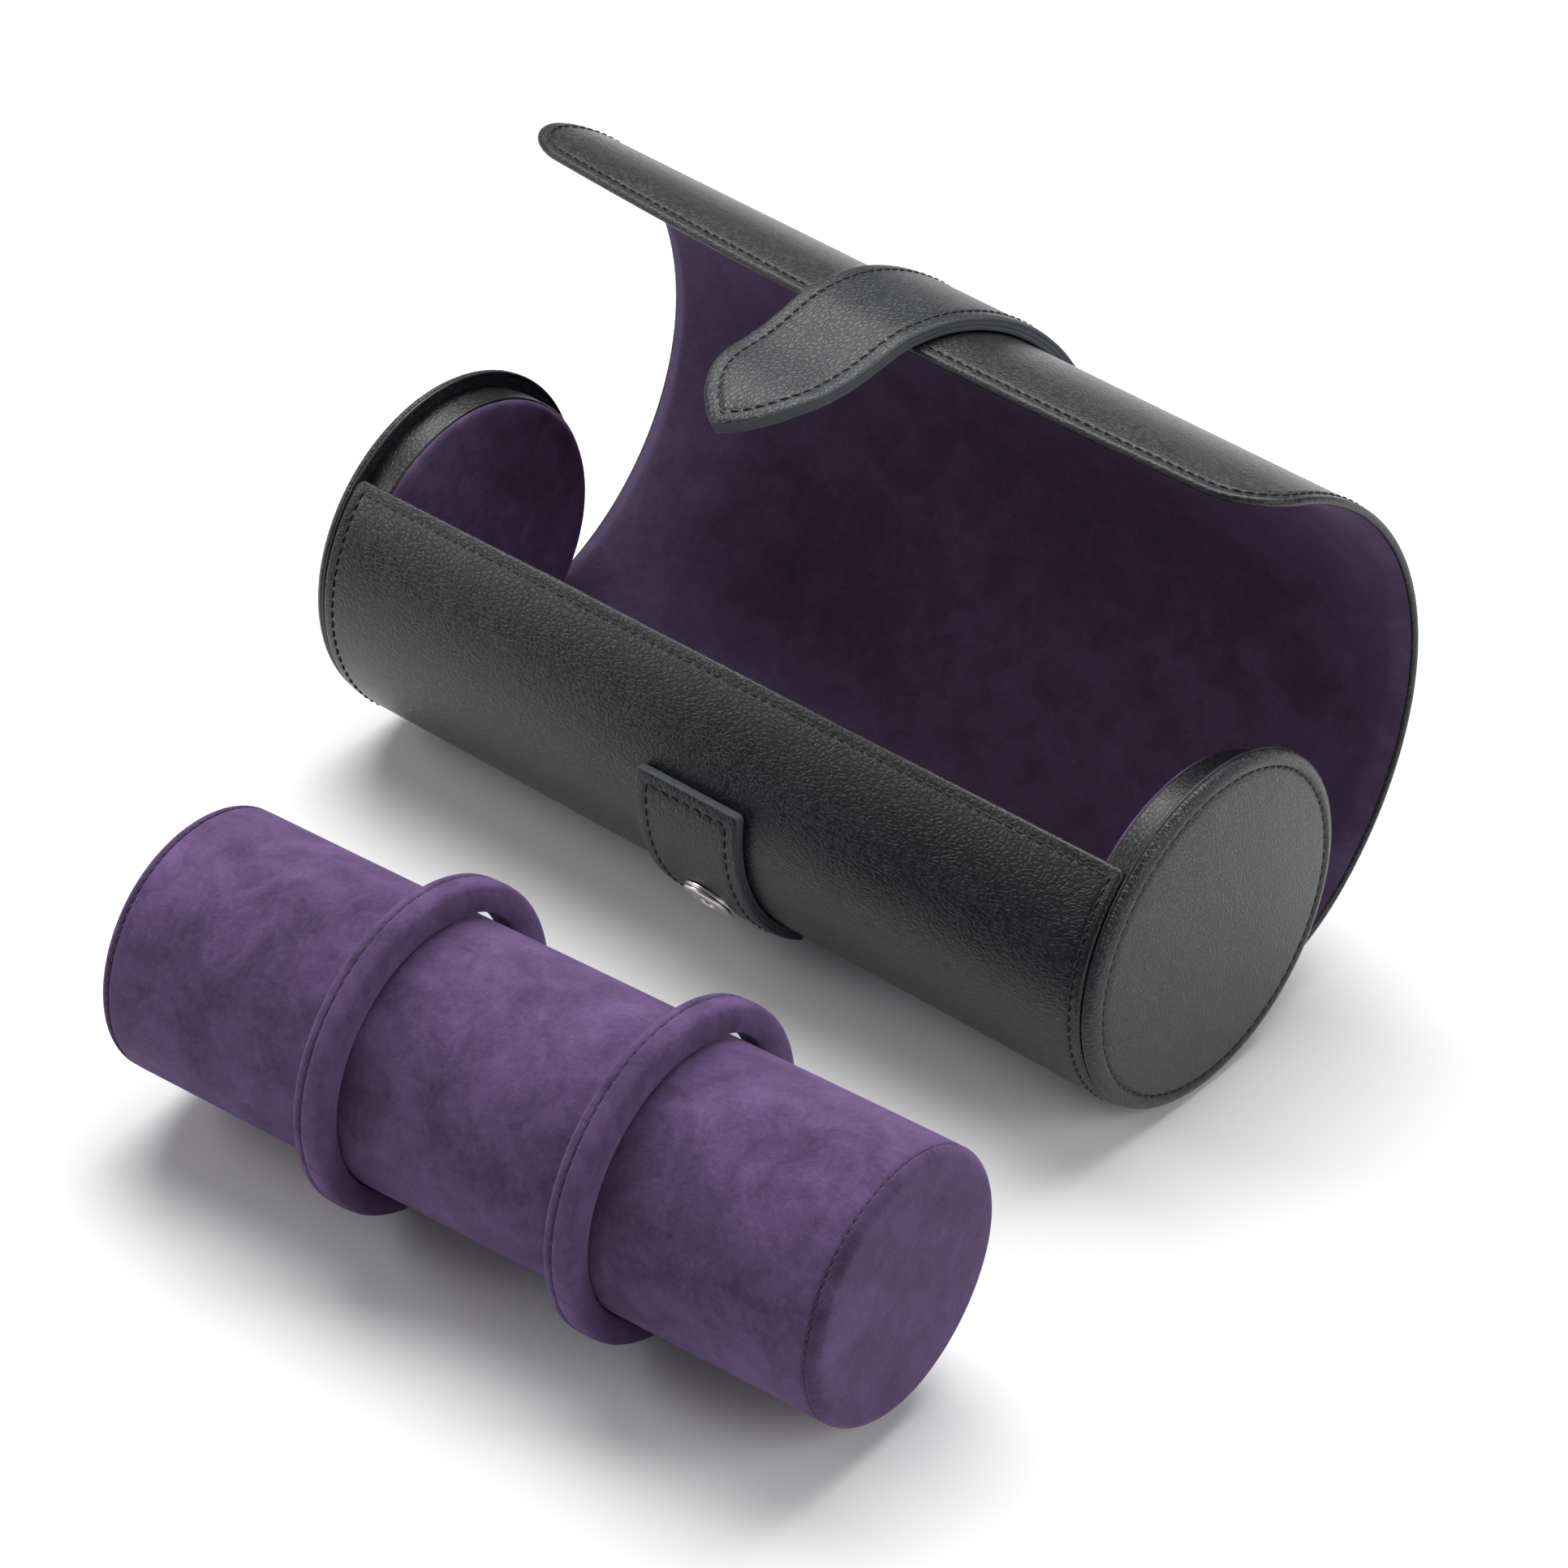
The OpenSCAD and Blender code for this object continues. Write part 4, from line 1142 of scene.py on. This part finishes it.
face_profile += [(41.4, PLATE_X + 0.35), (41.1, PLATE_X + 0.1), (40.6, PLATE_X), (BAND_R - 3.0, PLATE_X)]
piping_profile = arc(PIPING_R, PIPING_X, PIPING_SIZE, 0, 360, 12)
print(f"disc is {2 * max(r for r, x in face_profile):.1f} mm wide")

# %% [markdown]
# ### The inner caps
# Behind each disc a short drum stands inside the case: a leather band with a suede pad on its
# end. The band and the pad could be one piece with two materials, but on the real roll they are
# two hides with a fold between them, so each has its own profile, and they meet in a fine line.

# %% Band and pad profiles, and the four pieces of each end
CAP_MIDDLE, LIP_X, LIP_R, PAD_X = 108.0, 104.2, 0.5, 103.1
band_profile = [(BAND_R - 0.15, PLATE_X + 0.1), (BAND_R, PLATE_X - 0.5), (BAND_R + 0.08, 108.5),
                (BAND_R, 106), (BAND_R, 104.4)]
band_profile += arc(BAND_R - LIP_R, LIP_X, LIP_R, 0, -180, 9)
pad_profile = [(BAND_R - 1.1, 104.5), (BAND_R - 0.55, 104.1), (BAND_R - 0.45, 103.6),
               (BAND_R - 0.7, PAD_X)]
pad_profile += [((BAND_R - 1.1) * math.sin(a), PAD_X - 1.6 * math.cos(a) ** 0.6)
                for a in np.radians([84, 78, 70, 60, 48, 36, 24, 12, 0])]


def case_place(points):
    """Local X along the case's axis."""
    return points + np.array([0, 0, CASE_Z])


def mirrored(profile, sign):
    """The same profile for the other end."""
    return [(r, sign * x) for r, x in profile]


for side, sign in (("right", 1), ("left", -1)):
    at = (sign * CAP_MIDDLE, 0, 0)
    face = turned(f"{side}_disc_face", mirrored(face_profile, sign), case_place, disc_hide_lit,
                  "black_leather", at, disc=True, body="case",
                  replaces=[f"{side}_cap_face", f"{side}_cap_foam"])
    turned(f"{side}_disc_piping", mirrored(piping_profile, sign), case_place, black_edge,
           "cut_leather", (0, 0, 0), body="case", replaces=[f"{side}_cap_welt"])
    turned(f"{side}_inner_band", mirrored(band_profile, sign), case_place, band_hide,
           "black_leather", at, body="case", replaces=[f"{side}_cap_band", f"{side}_cap_core"])
    pad = turned(f"{side}_inner_pad", mirrored(pad_profile, sign), case_place, pad_suede_lit,
                 "dark_suede", at, disc=True, wobble=0.1, seed=3 + sign, body="case",
                 replaces=[f"{side}_cap_pad"])
print(f"inner caps stand {PLATE_X - LIP_X + LIP_R:.1f} mm out of their plates")

# %% [markdown]
# ## The cushion
# The cushion is a suede sleeve over foam with a sewn disc at each end, so it has a shallow seam
# just before each round edge. It could be a cylinder with a bevel, but the seam is what says that
# it is sewn. The sleeve and the discs share one wobble, so they fit along the seam.

# %% Cushion
ROLL_AT = np.array([40.6, -130.0, 36.1])
ROLL_YAW = math.radians(4.4)
ROLL_R, ROLL_HALF, ROLL_ROUND = 30.1, 93.2, 2.5
SEAM_X = ROLL_HALF - 2.6
ROLL_WOBBLE = dict(wobble=0.08, seed=5)


def roll_place(points):
    """Local X along the cushion, which lies turned a little in front of the case."""
    c, s = math.cos(ROLL_YAW), math.sin(ROLL_YAW)
    x, y = points[..., 0], points[..., 1]
    return np.stack([c * x - s * y, s * x + c * y, points[..., 2]], axis=-1) + ROLL_AT


cover_profile = [(ROLL_R - 0.5, -SEAM_X), (ROLL_R - 0.2, -SEAM_X + 0.35), (ROLL_R - 0.04, -SEAM_X + 0.8)]
cover_profile += [(ROLL_R, x) for x in np.linspace(-SEAM_X + 1.4, SEAM_X - 1.4, 90)]
cover_profile += [(r, -x) for r, x in cover_profile[2::-1]]
cover = turned("cushion_sleeve", cover_profile, roll_place, cushion_suede, "violet_suede",
               (0, 0, 0), body="cushion", replaces=["cushion_cover", "cushion_foam"], **ROLL_WOBBLE)
for side, sign in (("right", 1), ("left", -1)):
    end = [(r, sign * (ROLL_HALF + 0.45 - 0.45 * (r / 27.5) ** 3))
           for r in (0, 4, 8, 12, 16, 20, 23.5, 26)]
    end += [(r, sign * x) for r, x in arc(ROLL_R - ROLL_ROUND, SEAM_X + 0.1, ROLL_ROUND, 88, 12, 9)]
    end += [(ROLL_R - 0.2, sign * (SEAM_X + 0.15)), (ROLL_R - 0.55, sign * SEAM_X)]
    turned(f"cushion_{side}_disc", end, roll_place, cushion_end_suede_shaded, "violet_suede", (0, 0, 0),
           disc=True, body="cushion", replaces=[f"cushion_{side}_end", f"cushion_{side}_board"],
           **ROLL_WOBBLE)
print(f"cushion is {2 * ROLL_HALF} mm long and {2 * ROLL_R} mm thick")

# %% [markdown]
# ## The divider rings
# The rings keep the watches apart. They are foam in a suede skin with a seam near one edge. They
# are a little wide for the cushion, so they touch it all round but at the top of its back, where
# a gap is left. A torus could stand in for them, but their sides are flat, so a rounded box is
# turned, and `ring_place` then presses it on the cushion.

# %% Ring section
RING_OUT, RING_W, RING_ROUND, RING_THICK = 37.1, 7.2, 1.5, 6.9
w, e = RING_W / 2, RING_ROUND
quarter = np.radians([0, 22, 45, 68, 90])
bulge = [(RING_THICK * v, w + 0.25 * math.sin(math.pi * v)) for v in (0.65, 0.5, 0.35)]
seam = [(0.0, 2.1), (0.16, 2.3), (0.45, 2.5), (0.16, 2.7), (0.0, 2.9)]
loop = [(0, w - e), (0, 0), (0, e - w)]
loop += [(e - e * math.cos(a), e - w - e * math.sin(a)) for a in quarter[1:]]
loop += [(r, -x) for r, x in bulge[::-1]]
loop += [(RING_THICK - e + e * math.sin(a), e - w - e * math.cos(a)) for a in quarter]
loop += [(RING_THICK - d, x - w) for d, x in seam]
loop += [(RING_THICK + 0.1, 3.8 - w), (RING_THICK + 0.1, w - e - 0.9)]
loop += [(RING_THICK - e + e * math.cos(a), w - e + e * math.sin(a)) for a in quarter]
loop += bulge
loop += [(e - e * math.sin(a), w - e + e * math.cos(a)) for a in quarter]
print("points round a ring's section:", len(loop))

# %% [markdown]
# ### Two rings on the cushion
# The rings stand on the ground and carry the cushion, so a ring's outside is a circle about a
# middle that is a little higher than the cushion's, and its inside follows the cushion, but for
# the gap. A lattice could press the ring, but a rule for the inner and the outer radius keeps it
# exact, and it serves the stitches as well.

# %% Rings
RING_LIFT = 1.0
RING_GAP, GAP_AT, GAP_HALF = 1.1, math.radians(50.0), math.radians(34.0)
RING_PLACES = {"left": -30.0, "right": 35.0}


def ring_place(points):
    """Presses a round ring on the cushion, but for the gap at its back."""
    along, y, z = points[..., 0], points[..., 1], points[..., 2]
    share = (np.hypot(y, z) - ROLL_R) / RING_THICK
    angle = np.arctan2(z, y)
    lift = RING_LIFT * np.sin(angle)
    outer = lift + np.sqrt(RING_OUT ** 2 - (RING_LIFT * np.cos(angle)) ** 2)
    near = np.abs((angle - GAP_AT + math.pi) % (2 * math.pi) - math.pi)
    inner = ROLL_R + 0.2 + RING_GAP * smooth(1 - near / GAP_HALF)
    r = inner + (outer - inner) * share
    return roll_place(np.stack([along, r * np.cos(angle), r * np.sin(angle)], axis=-1))


for side, along in RING_PLACES.items():
    profile = [(ROLL_R + r, x + along) for r, x in loop]
    ring = turned(f"divider_{side}_ring", profile, ring_place, ring_suede, "violet_suede",
                  (along, ROLL_R + RING_THICK / 2, 0), segments=160, body=f"ring_{side}",
                  replaces=[f"ring_{side}_cover", f"ring_{side}_core"])
print(f"rings are {2 * RING_OUT} mm wide")

# %% [markdown]
# ## The snap's lower half
# The lower half of the snap is a pressed metal ring on the tab. Its lip rolls into a round
# socket, its face is nearly flat, and its wall has a fine groove where the ring is folded over
# its base. It could be a cylinder with a hole, but pressed metal has no sharp edge anywhere, and
# the small round ones are what catches the light.

# %% Snap ring
SNAP_A = math.radians(214.5)
SNAP_R, SOCKET_R, SNAP_TOP = 6.3, 2.1, 46.45


def snap_place(points):
    """Local X points out of the case through the snap, local Y to the case's right end."""
    out, y, z = points[..., 0], points[..., 1], points[..., 2]
    c, s = math.cos(SNAP_A), math.sin(SNAP_A)
    return np.stack([y + STRAP_X, out * c + z * s, CASE_Z + out * s - z * c], axis=-1)


lip = [(-0.1, -1.4), (0, -0.5), (0.15, -0.15), (0.4, -0.02), (0.8, 0.0), (1.2, -0.05), (1.6, -0.1)]
flat_face = [(4.4, -0.1), (5.0, -0.04), (5.5, -0.03), (5.9, -0.12), (6.17, -0.34)]
wall = [(SNAP_R, -0.62), (SNAP_R, -0.9), (6.14, -1.0), (6.12, -1.15), (6.2, -1.3),
        (SNAP_R, -1.38), (SNAP_R, -1.75)]
ring_face = [(SOCKET_R + r, x) for r, x in lip] + flat_face + wall
turned("snap_socket_ring", [(r, SNAP_TOP + x) for r, x in ring_face], snap_place, nickel, "nickel",
       (SNAP_TOP - 1.5, 0, 0), disc=True, segments=64, body="case", replaces=["snap_socket"])
print(f"snap is {2 * SNAP_R} mm wide and its socket {2 * SOCKET_R} mm")

# %% [markdown]
# ## Rows of stitches
# Every stitch is a short bent piece of thread that comes out of one hole and goes into the next.
# A row is a path on a piece's flat pattern, cut into stitches of one length. An array on a curve
# could lay them out, but it would not know how the leather bends. First come the places of the
# stitches.


# %% Places along a path
def path_at(path, pitch):
    """Middles and directions of the stitches along a flat path."""
    step = np.diff(path, axis=0)
    length = np.concatenate([[0], np.cumsum(np.hypot(*step.T))])
    count = int(length[-1] / pitch)
    at = (np.arange(count) + 0.5) * length[-1] / count
    middle = np.stack([np.interp(at, length, path[:, i]) for i in (0, 1)], axis=-1)
    before = np.stack([np.interp(at - 0.3, length, path[:, i]) for i in (0, 1)], axis=-1)
    after = np.stack([np.interp(at + 0.3, length, path[:, i]) for i in (0, 1)], axis=-1)
    along = after - before
    return middle, along / np.linalg.norm(along, axis=1, keepdims=True)


print("stitches on 100 mm:", len(path_at(np.array([(0.0, 0.0), (100.0, 0.0)]), 2.7)[0]))

# %% [markdown]
# ### One stitch
# A stitch lies on the leather in its middle and dives into it at both ends, where it is also
# pulled thinner. Saddle stitches lie a few degrees off the row. A cylinder would look stiff, so
# seven small rings of points follow that curve.

# %% Stitch rows
THREAD_R = 0.24
STITCH_TURN = math.radians(7.0)
STITCH_REACH, STITCH_RISE, STITCH_DIVE, STITCH_THIN = 0.41, 0.16, 0.42, 0.25
RINGS, CORNERS = 7, 7
PROBE = 0.1


def stitch_row(name, surface, middle, along, depth, pitch, material, slot, **where):
    """One mesh with a bent thread at each place of a row."""
    x, s = middle.T
    a = STITCH_TURN
    dx = along[:, 0] * math.cos(a) - along[:, 1] * math.sin(a)
    ds = along[:, 0] * math.sin(a) + along[:, 1] * math.cos(a)
    out = surface(x, s, depth + PROBE) - surface(x, s, depth)
    out /= np.linalg.norm(out, axis=1, keepdims=True)
    run = surface(x + PROBE * dx, s + PROBE * ds, depth) - surface(x - PROBE * dx, s - PROBE * ds, depth)
    run /= np.linalg.norm(run, axis=1, keepdims=True)
    across = np.cross(run, out)
    t = np.linspace(-1, 1, RINGS)
    reach = pitch * STITCH_REACH
    lift = STITCH_RISE - STITCH_DIVE * t ** 4
    size = THREAD_R * (1 - STITCH_THIN * t ** 4)
    turn = np.linspace(0, 2 * math.pi, CORNERS, endpoint=False)
    centre = surface(x, s, depth)[:, None] + run[:, None] * (t * reach)[:, None]
    centre = centre + out[:, None] * lift[:, None]
    ring = across[:, None, None] * np.cos(turn)[:, None] + out[:, None, None] * np.sin(turn)[:, None]
    points = centre[:, :, None] + ring * size[:, None, None]
    faces = []
    for k in range(len(x)):
        faces += grid_faces(RINGS, CORNERS, k * RINGS * CORNERS, wrap=True)
    flat = np.stack(np.broadcast_arrays((t * reach)[:, None], turn * THREAD_R), axis=-1)
    flat = np.broadcast_to(flat, points.shape[:3] + (2,))
    return piece(name, points.reshape(-1, 3), faces, flat.reshape(-1, 2), material, slot, **where)


print("points in a stitch:", RINGS * CORNERS)

# %% [markdown]
# ### Round the wrap and the flap
# One row runs round the wrap's edge and one round the flap's. The flap's row is divided at the
# same borders as its leather, and each stretch goes through the same steps as that leather. One
# mesh for the whole row would be shorter to write.

# %% Wrap and flap rows
PITCH = 2.7
SEAM_H = -0.12
thread = dict(material=black_thread, slot="black_leather")
wrap_path = box_path(WRAP_HALF, line_at(BORDER_S), FRONT_S, WRAP_CORNER, SEAM_INSET, WRAP_COUNTS)
stitch_row("wrap_stitches", sheet_point, *path_at(wrap_path, PITCH), SEAM_H, PITCH, body="case",
           **thread)
flap_path = box_path(WRAP_HALF, level(BORDER_S), FLAP_LEN, CORNER_R, SEAM_INSET, (90, 24, 80), BOW)
middle, along = path_at(flap_path, PITCH)
owner = sum((middle[:, 1] - middle[:, 0] * SLOPE > b).astype(int) for b in borders[1:])
for k in range(PANELS + 1):
    at = owner == k
    where = dict(body="flap_panel_5") if k == PANELS else {}
    row = stitch_row(f"flap_stitches_{k + 1}", sheet_point, middle[at], along[at], SEAM_H, PITCH,
                     **where, **thread)
    if k < PANELS:
        bend_with(row, k)
print("stitches round the flap:", len(middle))

# %% [markdown]
# ### Round the strap
# The strap's row goes all the way round, across its sewn end too. It could be copied from the
# leather's own edge, but the outline function that cut the tongue draws it just as well at
# another inset. It is divided at the strap's own borders, and each part goes through the same
# steps as its leather.

# %% Strap rows
strap_rows = tongue_path(STRAP_SEAM, SEWN_T + STRAP_SEAM, 60, 24)
strap_rows = np.concatenate([strap_rows, strap_rows[:1]])
middle, along = path_at(strap_rows, PITCH)
owner = sum((middle[:, 1] > b(middle[:, 0])).astype(int) for b in strap_borders)
for k, (part, bend) in enumerate([("sewn", lambda row: bend_with(row, 3)),
                                  ("middle", lambda row: bend_with(row, 4)),
                                  ("root", bend_root), ("tongue", bend_tongue)]):
    at = owner == k
    bend(stitch_row(f"strap_stitches_{part}", strap_point, middle[at], along[at], SEAM_H, PITCH,
                    **thread))
print("stitches round the strap:", len(middle))

# %% [markdown]
# ### On the tab and the end discs
# The tab's row has longer stitches, and each disc has a circle of them in the furrow that its
# profile leaves. These rows don't bend, so they could be one mesh with the leather, but a piece
# of thread keeps its own finish and colour.

# %% Tab and disc rows
TAB_PITCH = 3.2
DISC_SINK = 0.42
u, v = TAB_HALF - STRAP_SEAM, tab_end - STRAP_SEAM
tab_path = np.array([(-u, v), (-u, -v), (u, -v), (u, v), (-u, v)])
stitch_row("tab_stitches", tab_point, *path_at(tab_path, TAB_PITCH), SEAM_H, TAB_PITCH,
           body="case", **thread)
turn = np.linspace(0, 2 * math.pi, 241)
circle = np.stack([FACE_SEAM * np.cos(turn), FACE_SEAM * np.sin(turn)], axis=-1)
for side, sign in (("right", 1), ("left", -1)):
    def disc_point(y, z, h, sign=sign):
        x = sign * (CASE_HALF - DISC_SINK + h)
        return case_place(np.stack(np.broadcast_arrays(x, y, z), axis=-1))

    stitch_row(f"{side}_disc_stitches", disc_point, *path_at(circle, PITCH), 0.0, PITCH,
               body="case", **thread)
print("stitches round a disc:", len(path_at(circle, PITCH)[0]))

# %% [markdown]
# ### On the suede
# The rings and the cushion's ends are closed with a finer violet thread that lies in the seams,
# so it hardly shows. It could be left out, but a seam without thread looks like a groove in
# plastic.

# %% Suede rows
SUEDE_PITCH = 2.3
RING_SEAM, SUEDE_SINK = 2.5, 0.35
violet = dict(material=violet_thread, slot="violet_suede")
hoop = np.array([(0, s) for s in np.linspace(0, 2 * math.pi * ROLL_R, 241)])
for side, along in RING_PLACES.items():
    def seam_point(x, s, h, along=along):
        r = ROLL_R + RING_THICK - SUEDE_SINK + h
        a = s / ROLL_R
        across = x + along - RING_W / 2 + RING_SEAM
        return ring_place(np.stack([across, r * np.cos(a), r * np.sin(a)], axis=-1))

    stitch_row(f"divider_{side}_stitches", seam_point, *path_at(hoop, SUEDE_PITCH), 0.0,
               SUEDE_PITCH, body=f"ring_{side}", **violet)
for side, sign in (("right", 1), ("left", -1)):
    def end_point(x, s, h, sign=sign):
        r = ROLL_R - SUEDE_SINK + h
        a = s / ROLL_R
        return roll_place(np.stack([x + sign * SEAM_X, r * np.cos(a), r * np.sin(a)], axis=-1))

    stitch_row(f"cushion_{side}_stitches", end_point, *path_at(hoop, SUEDE_PITCH), 0.0,
               SUEDE_PITCH, body="cushion", **violet)

# %% [markdown]
# ## The floor
# The photo has a white ground that fades out behind. A bent sheet of paper could do it, but a
# large flat floor and a white background give the same here. The floor is a light matt grey, so
# the contact shadows stay, and a faint glow that only the camera sees lifts it a little.

# %% Floor
FLOOR_HALF, FLOOR_Z = 6, -0.0002
FLOOR_GLOW = 0.02
floor_mesh = bpy.data.meshes.new("floor")
floor_mesh.from_pydata([(-FLOOR_HALF, -FLOOR_HALF, 0), (FLOOR_HALF, -FLOOR_HALF, 0),
                        (FLOOR_HALF, FLOOR_HALF, 0), (-FLOOR_HALF, FLOOR_HALF, 0)],
                       [], [(0, 1, 2, 3)])
floor = bpy.data.objects.new("floor", floor_mesh)
bpy.context.scene.collection.objects.link(floor)
floor.location.z = FLOOR_Z
n = Nodes("studio_floor")
camera_ray = n.add("ShaderNodeLightPath").outputs["Is Camera Ray"]
n.set(Base_Color=(0.80, 0.80, 0.80, 1), Roughness=0.9, Emission_Color=(1, 1, 1, 1),
      Emission_Strength=n.math("MULTIPLY", camera_ray, FLOOR_GLOW))
floor.data.materials.append(n.material)
print(f"floor is {2 * FLOOR_HALF} m wide")

# %% [markdown]
# ## The background
# The camera has to see white, but a white world would light the roll from all sides and wash its
# shadows out. The light path node tells the two apart: the world is full white for the camera's
# own rays and weak for all others.

# %% Background
AMBIENT = 0.16
world = bpy.data.worlds.new("studio")
bpy.context.scene.world = world
world.use_nodes = True
tree = world.node_tree
ground = tree.nodes["Background"]
ray = tree.nodes.new("ShaderNodeLightPath")
seen = tree.nodes.new("ShaderNodeMapRange")
seen.inputs["To Min"].default_value = AMBIENT
seen.inputs["To Max"].default_value = 1.0
tree.links.new(ray.outputs["Is Camera Ray"], seen.inputs["Value"])
tree.links.new(seen.outputs["Result"], ground.inputs["Strength"])
ground.inputs["Color"].default_value = (1, 1, 1, 1)
print("world strength for the roll:", AMBIENT)

# %% [markdown]
# ## The lamps
# The photo's light is soft and comes from above and behind, with a little from both sides. Large
# rectangular lamps do that: their size, and not their power, makes the shadows soft. An HDR image
# could do it too, but three lamps are easier to move until the shadows fit.


# %% Lamps
def softbox(name, at, to, width, height, power):
    """A rectangular lamp that shines from one point to another. Lengths are in metres."""
    light = bpy.data.lights.new(name, "AREA")
    light.shape = "RECTANGLE"
    light.size, light.size_y = width, height
    light.energy = power
    lamp = bpy.data.objects.new(name, light)
    lamp.location = at
    lamp.rotation_euler = (Vector(to) - Vector(at)).to_track_quat("-Z", "Y").to_euler()
    bpy.context.scene.collection.objects.link(lamp)


softbox("top_light", (-0.28, 0.46, 1.30), (0, -0.05, 0), 1.6, 1.1, 35)
softbox("right_light", (1.35, 0.15, 0.75), (0.05, 0, 0.05), 0.8, 0.8, 9)
softbox("left_light", (-1.2, -0.8, 0.9), (0, 0, 0.05), 0.8, 0.8, 8)
bpy.context.scene.view_settings.view_transform = "Standard"
print("lamps:", [light.name for light in bpy.data.lights if light.type == "AREA"])
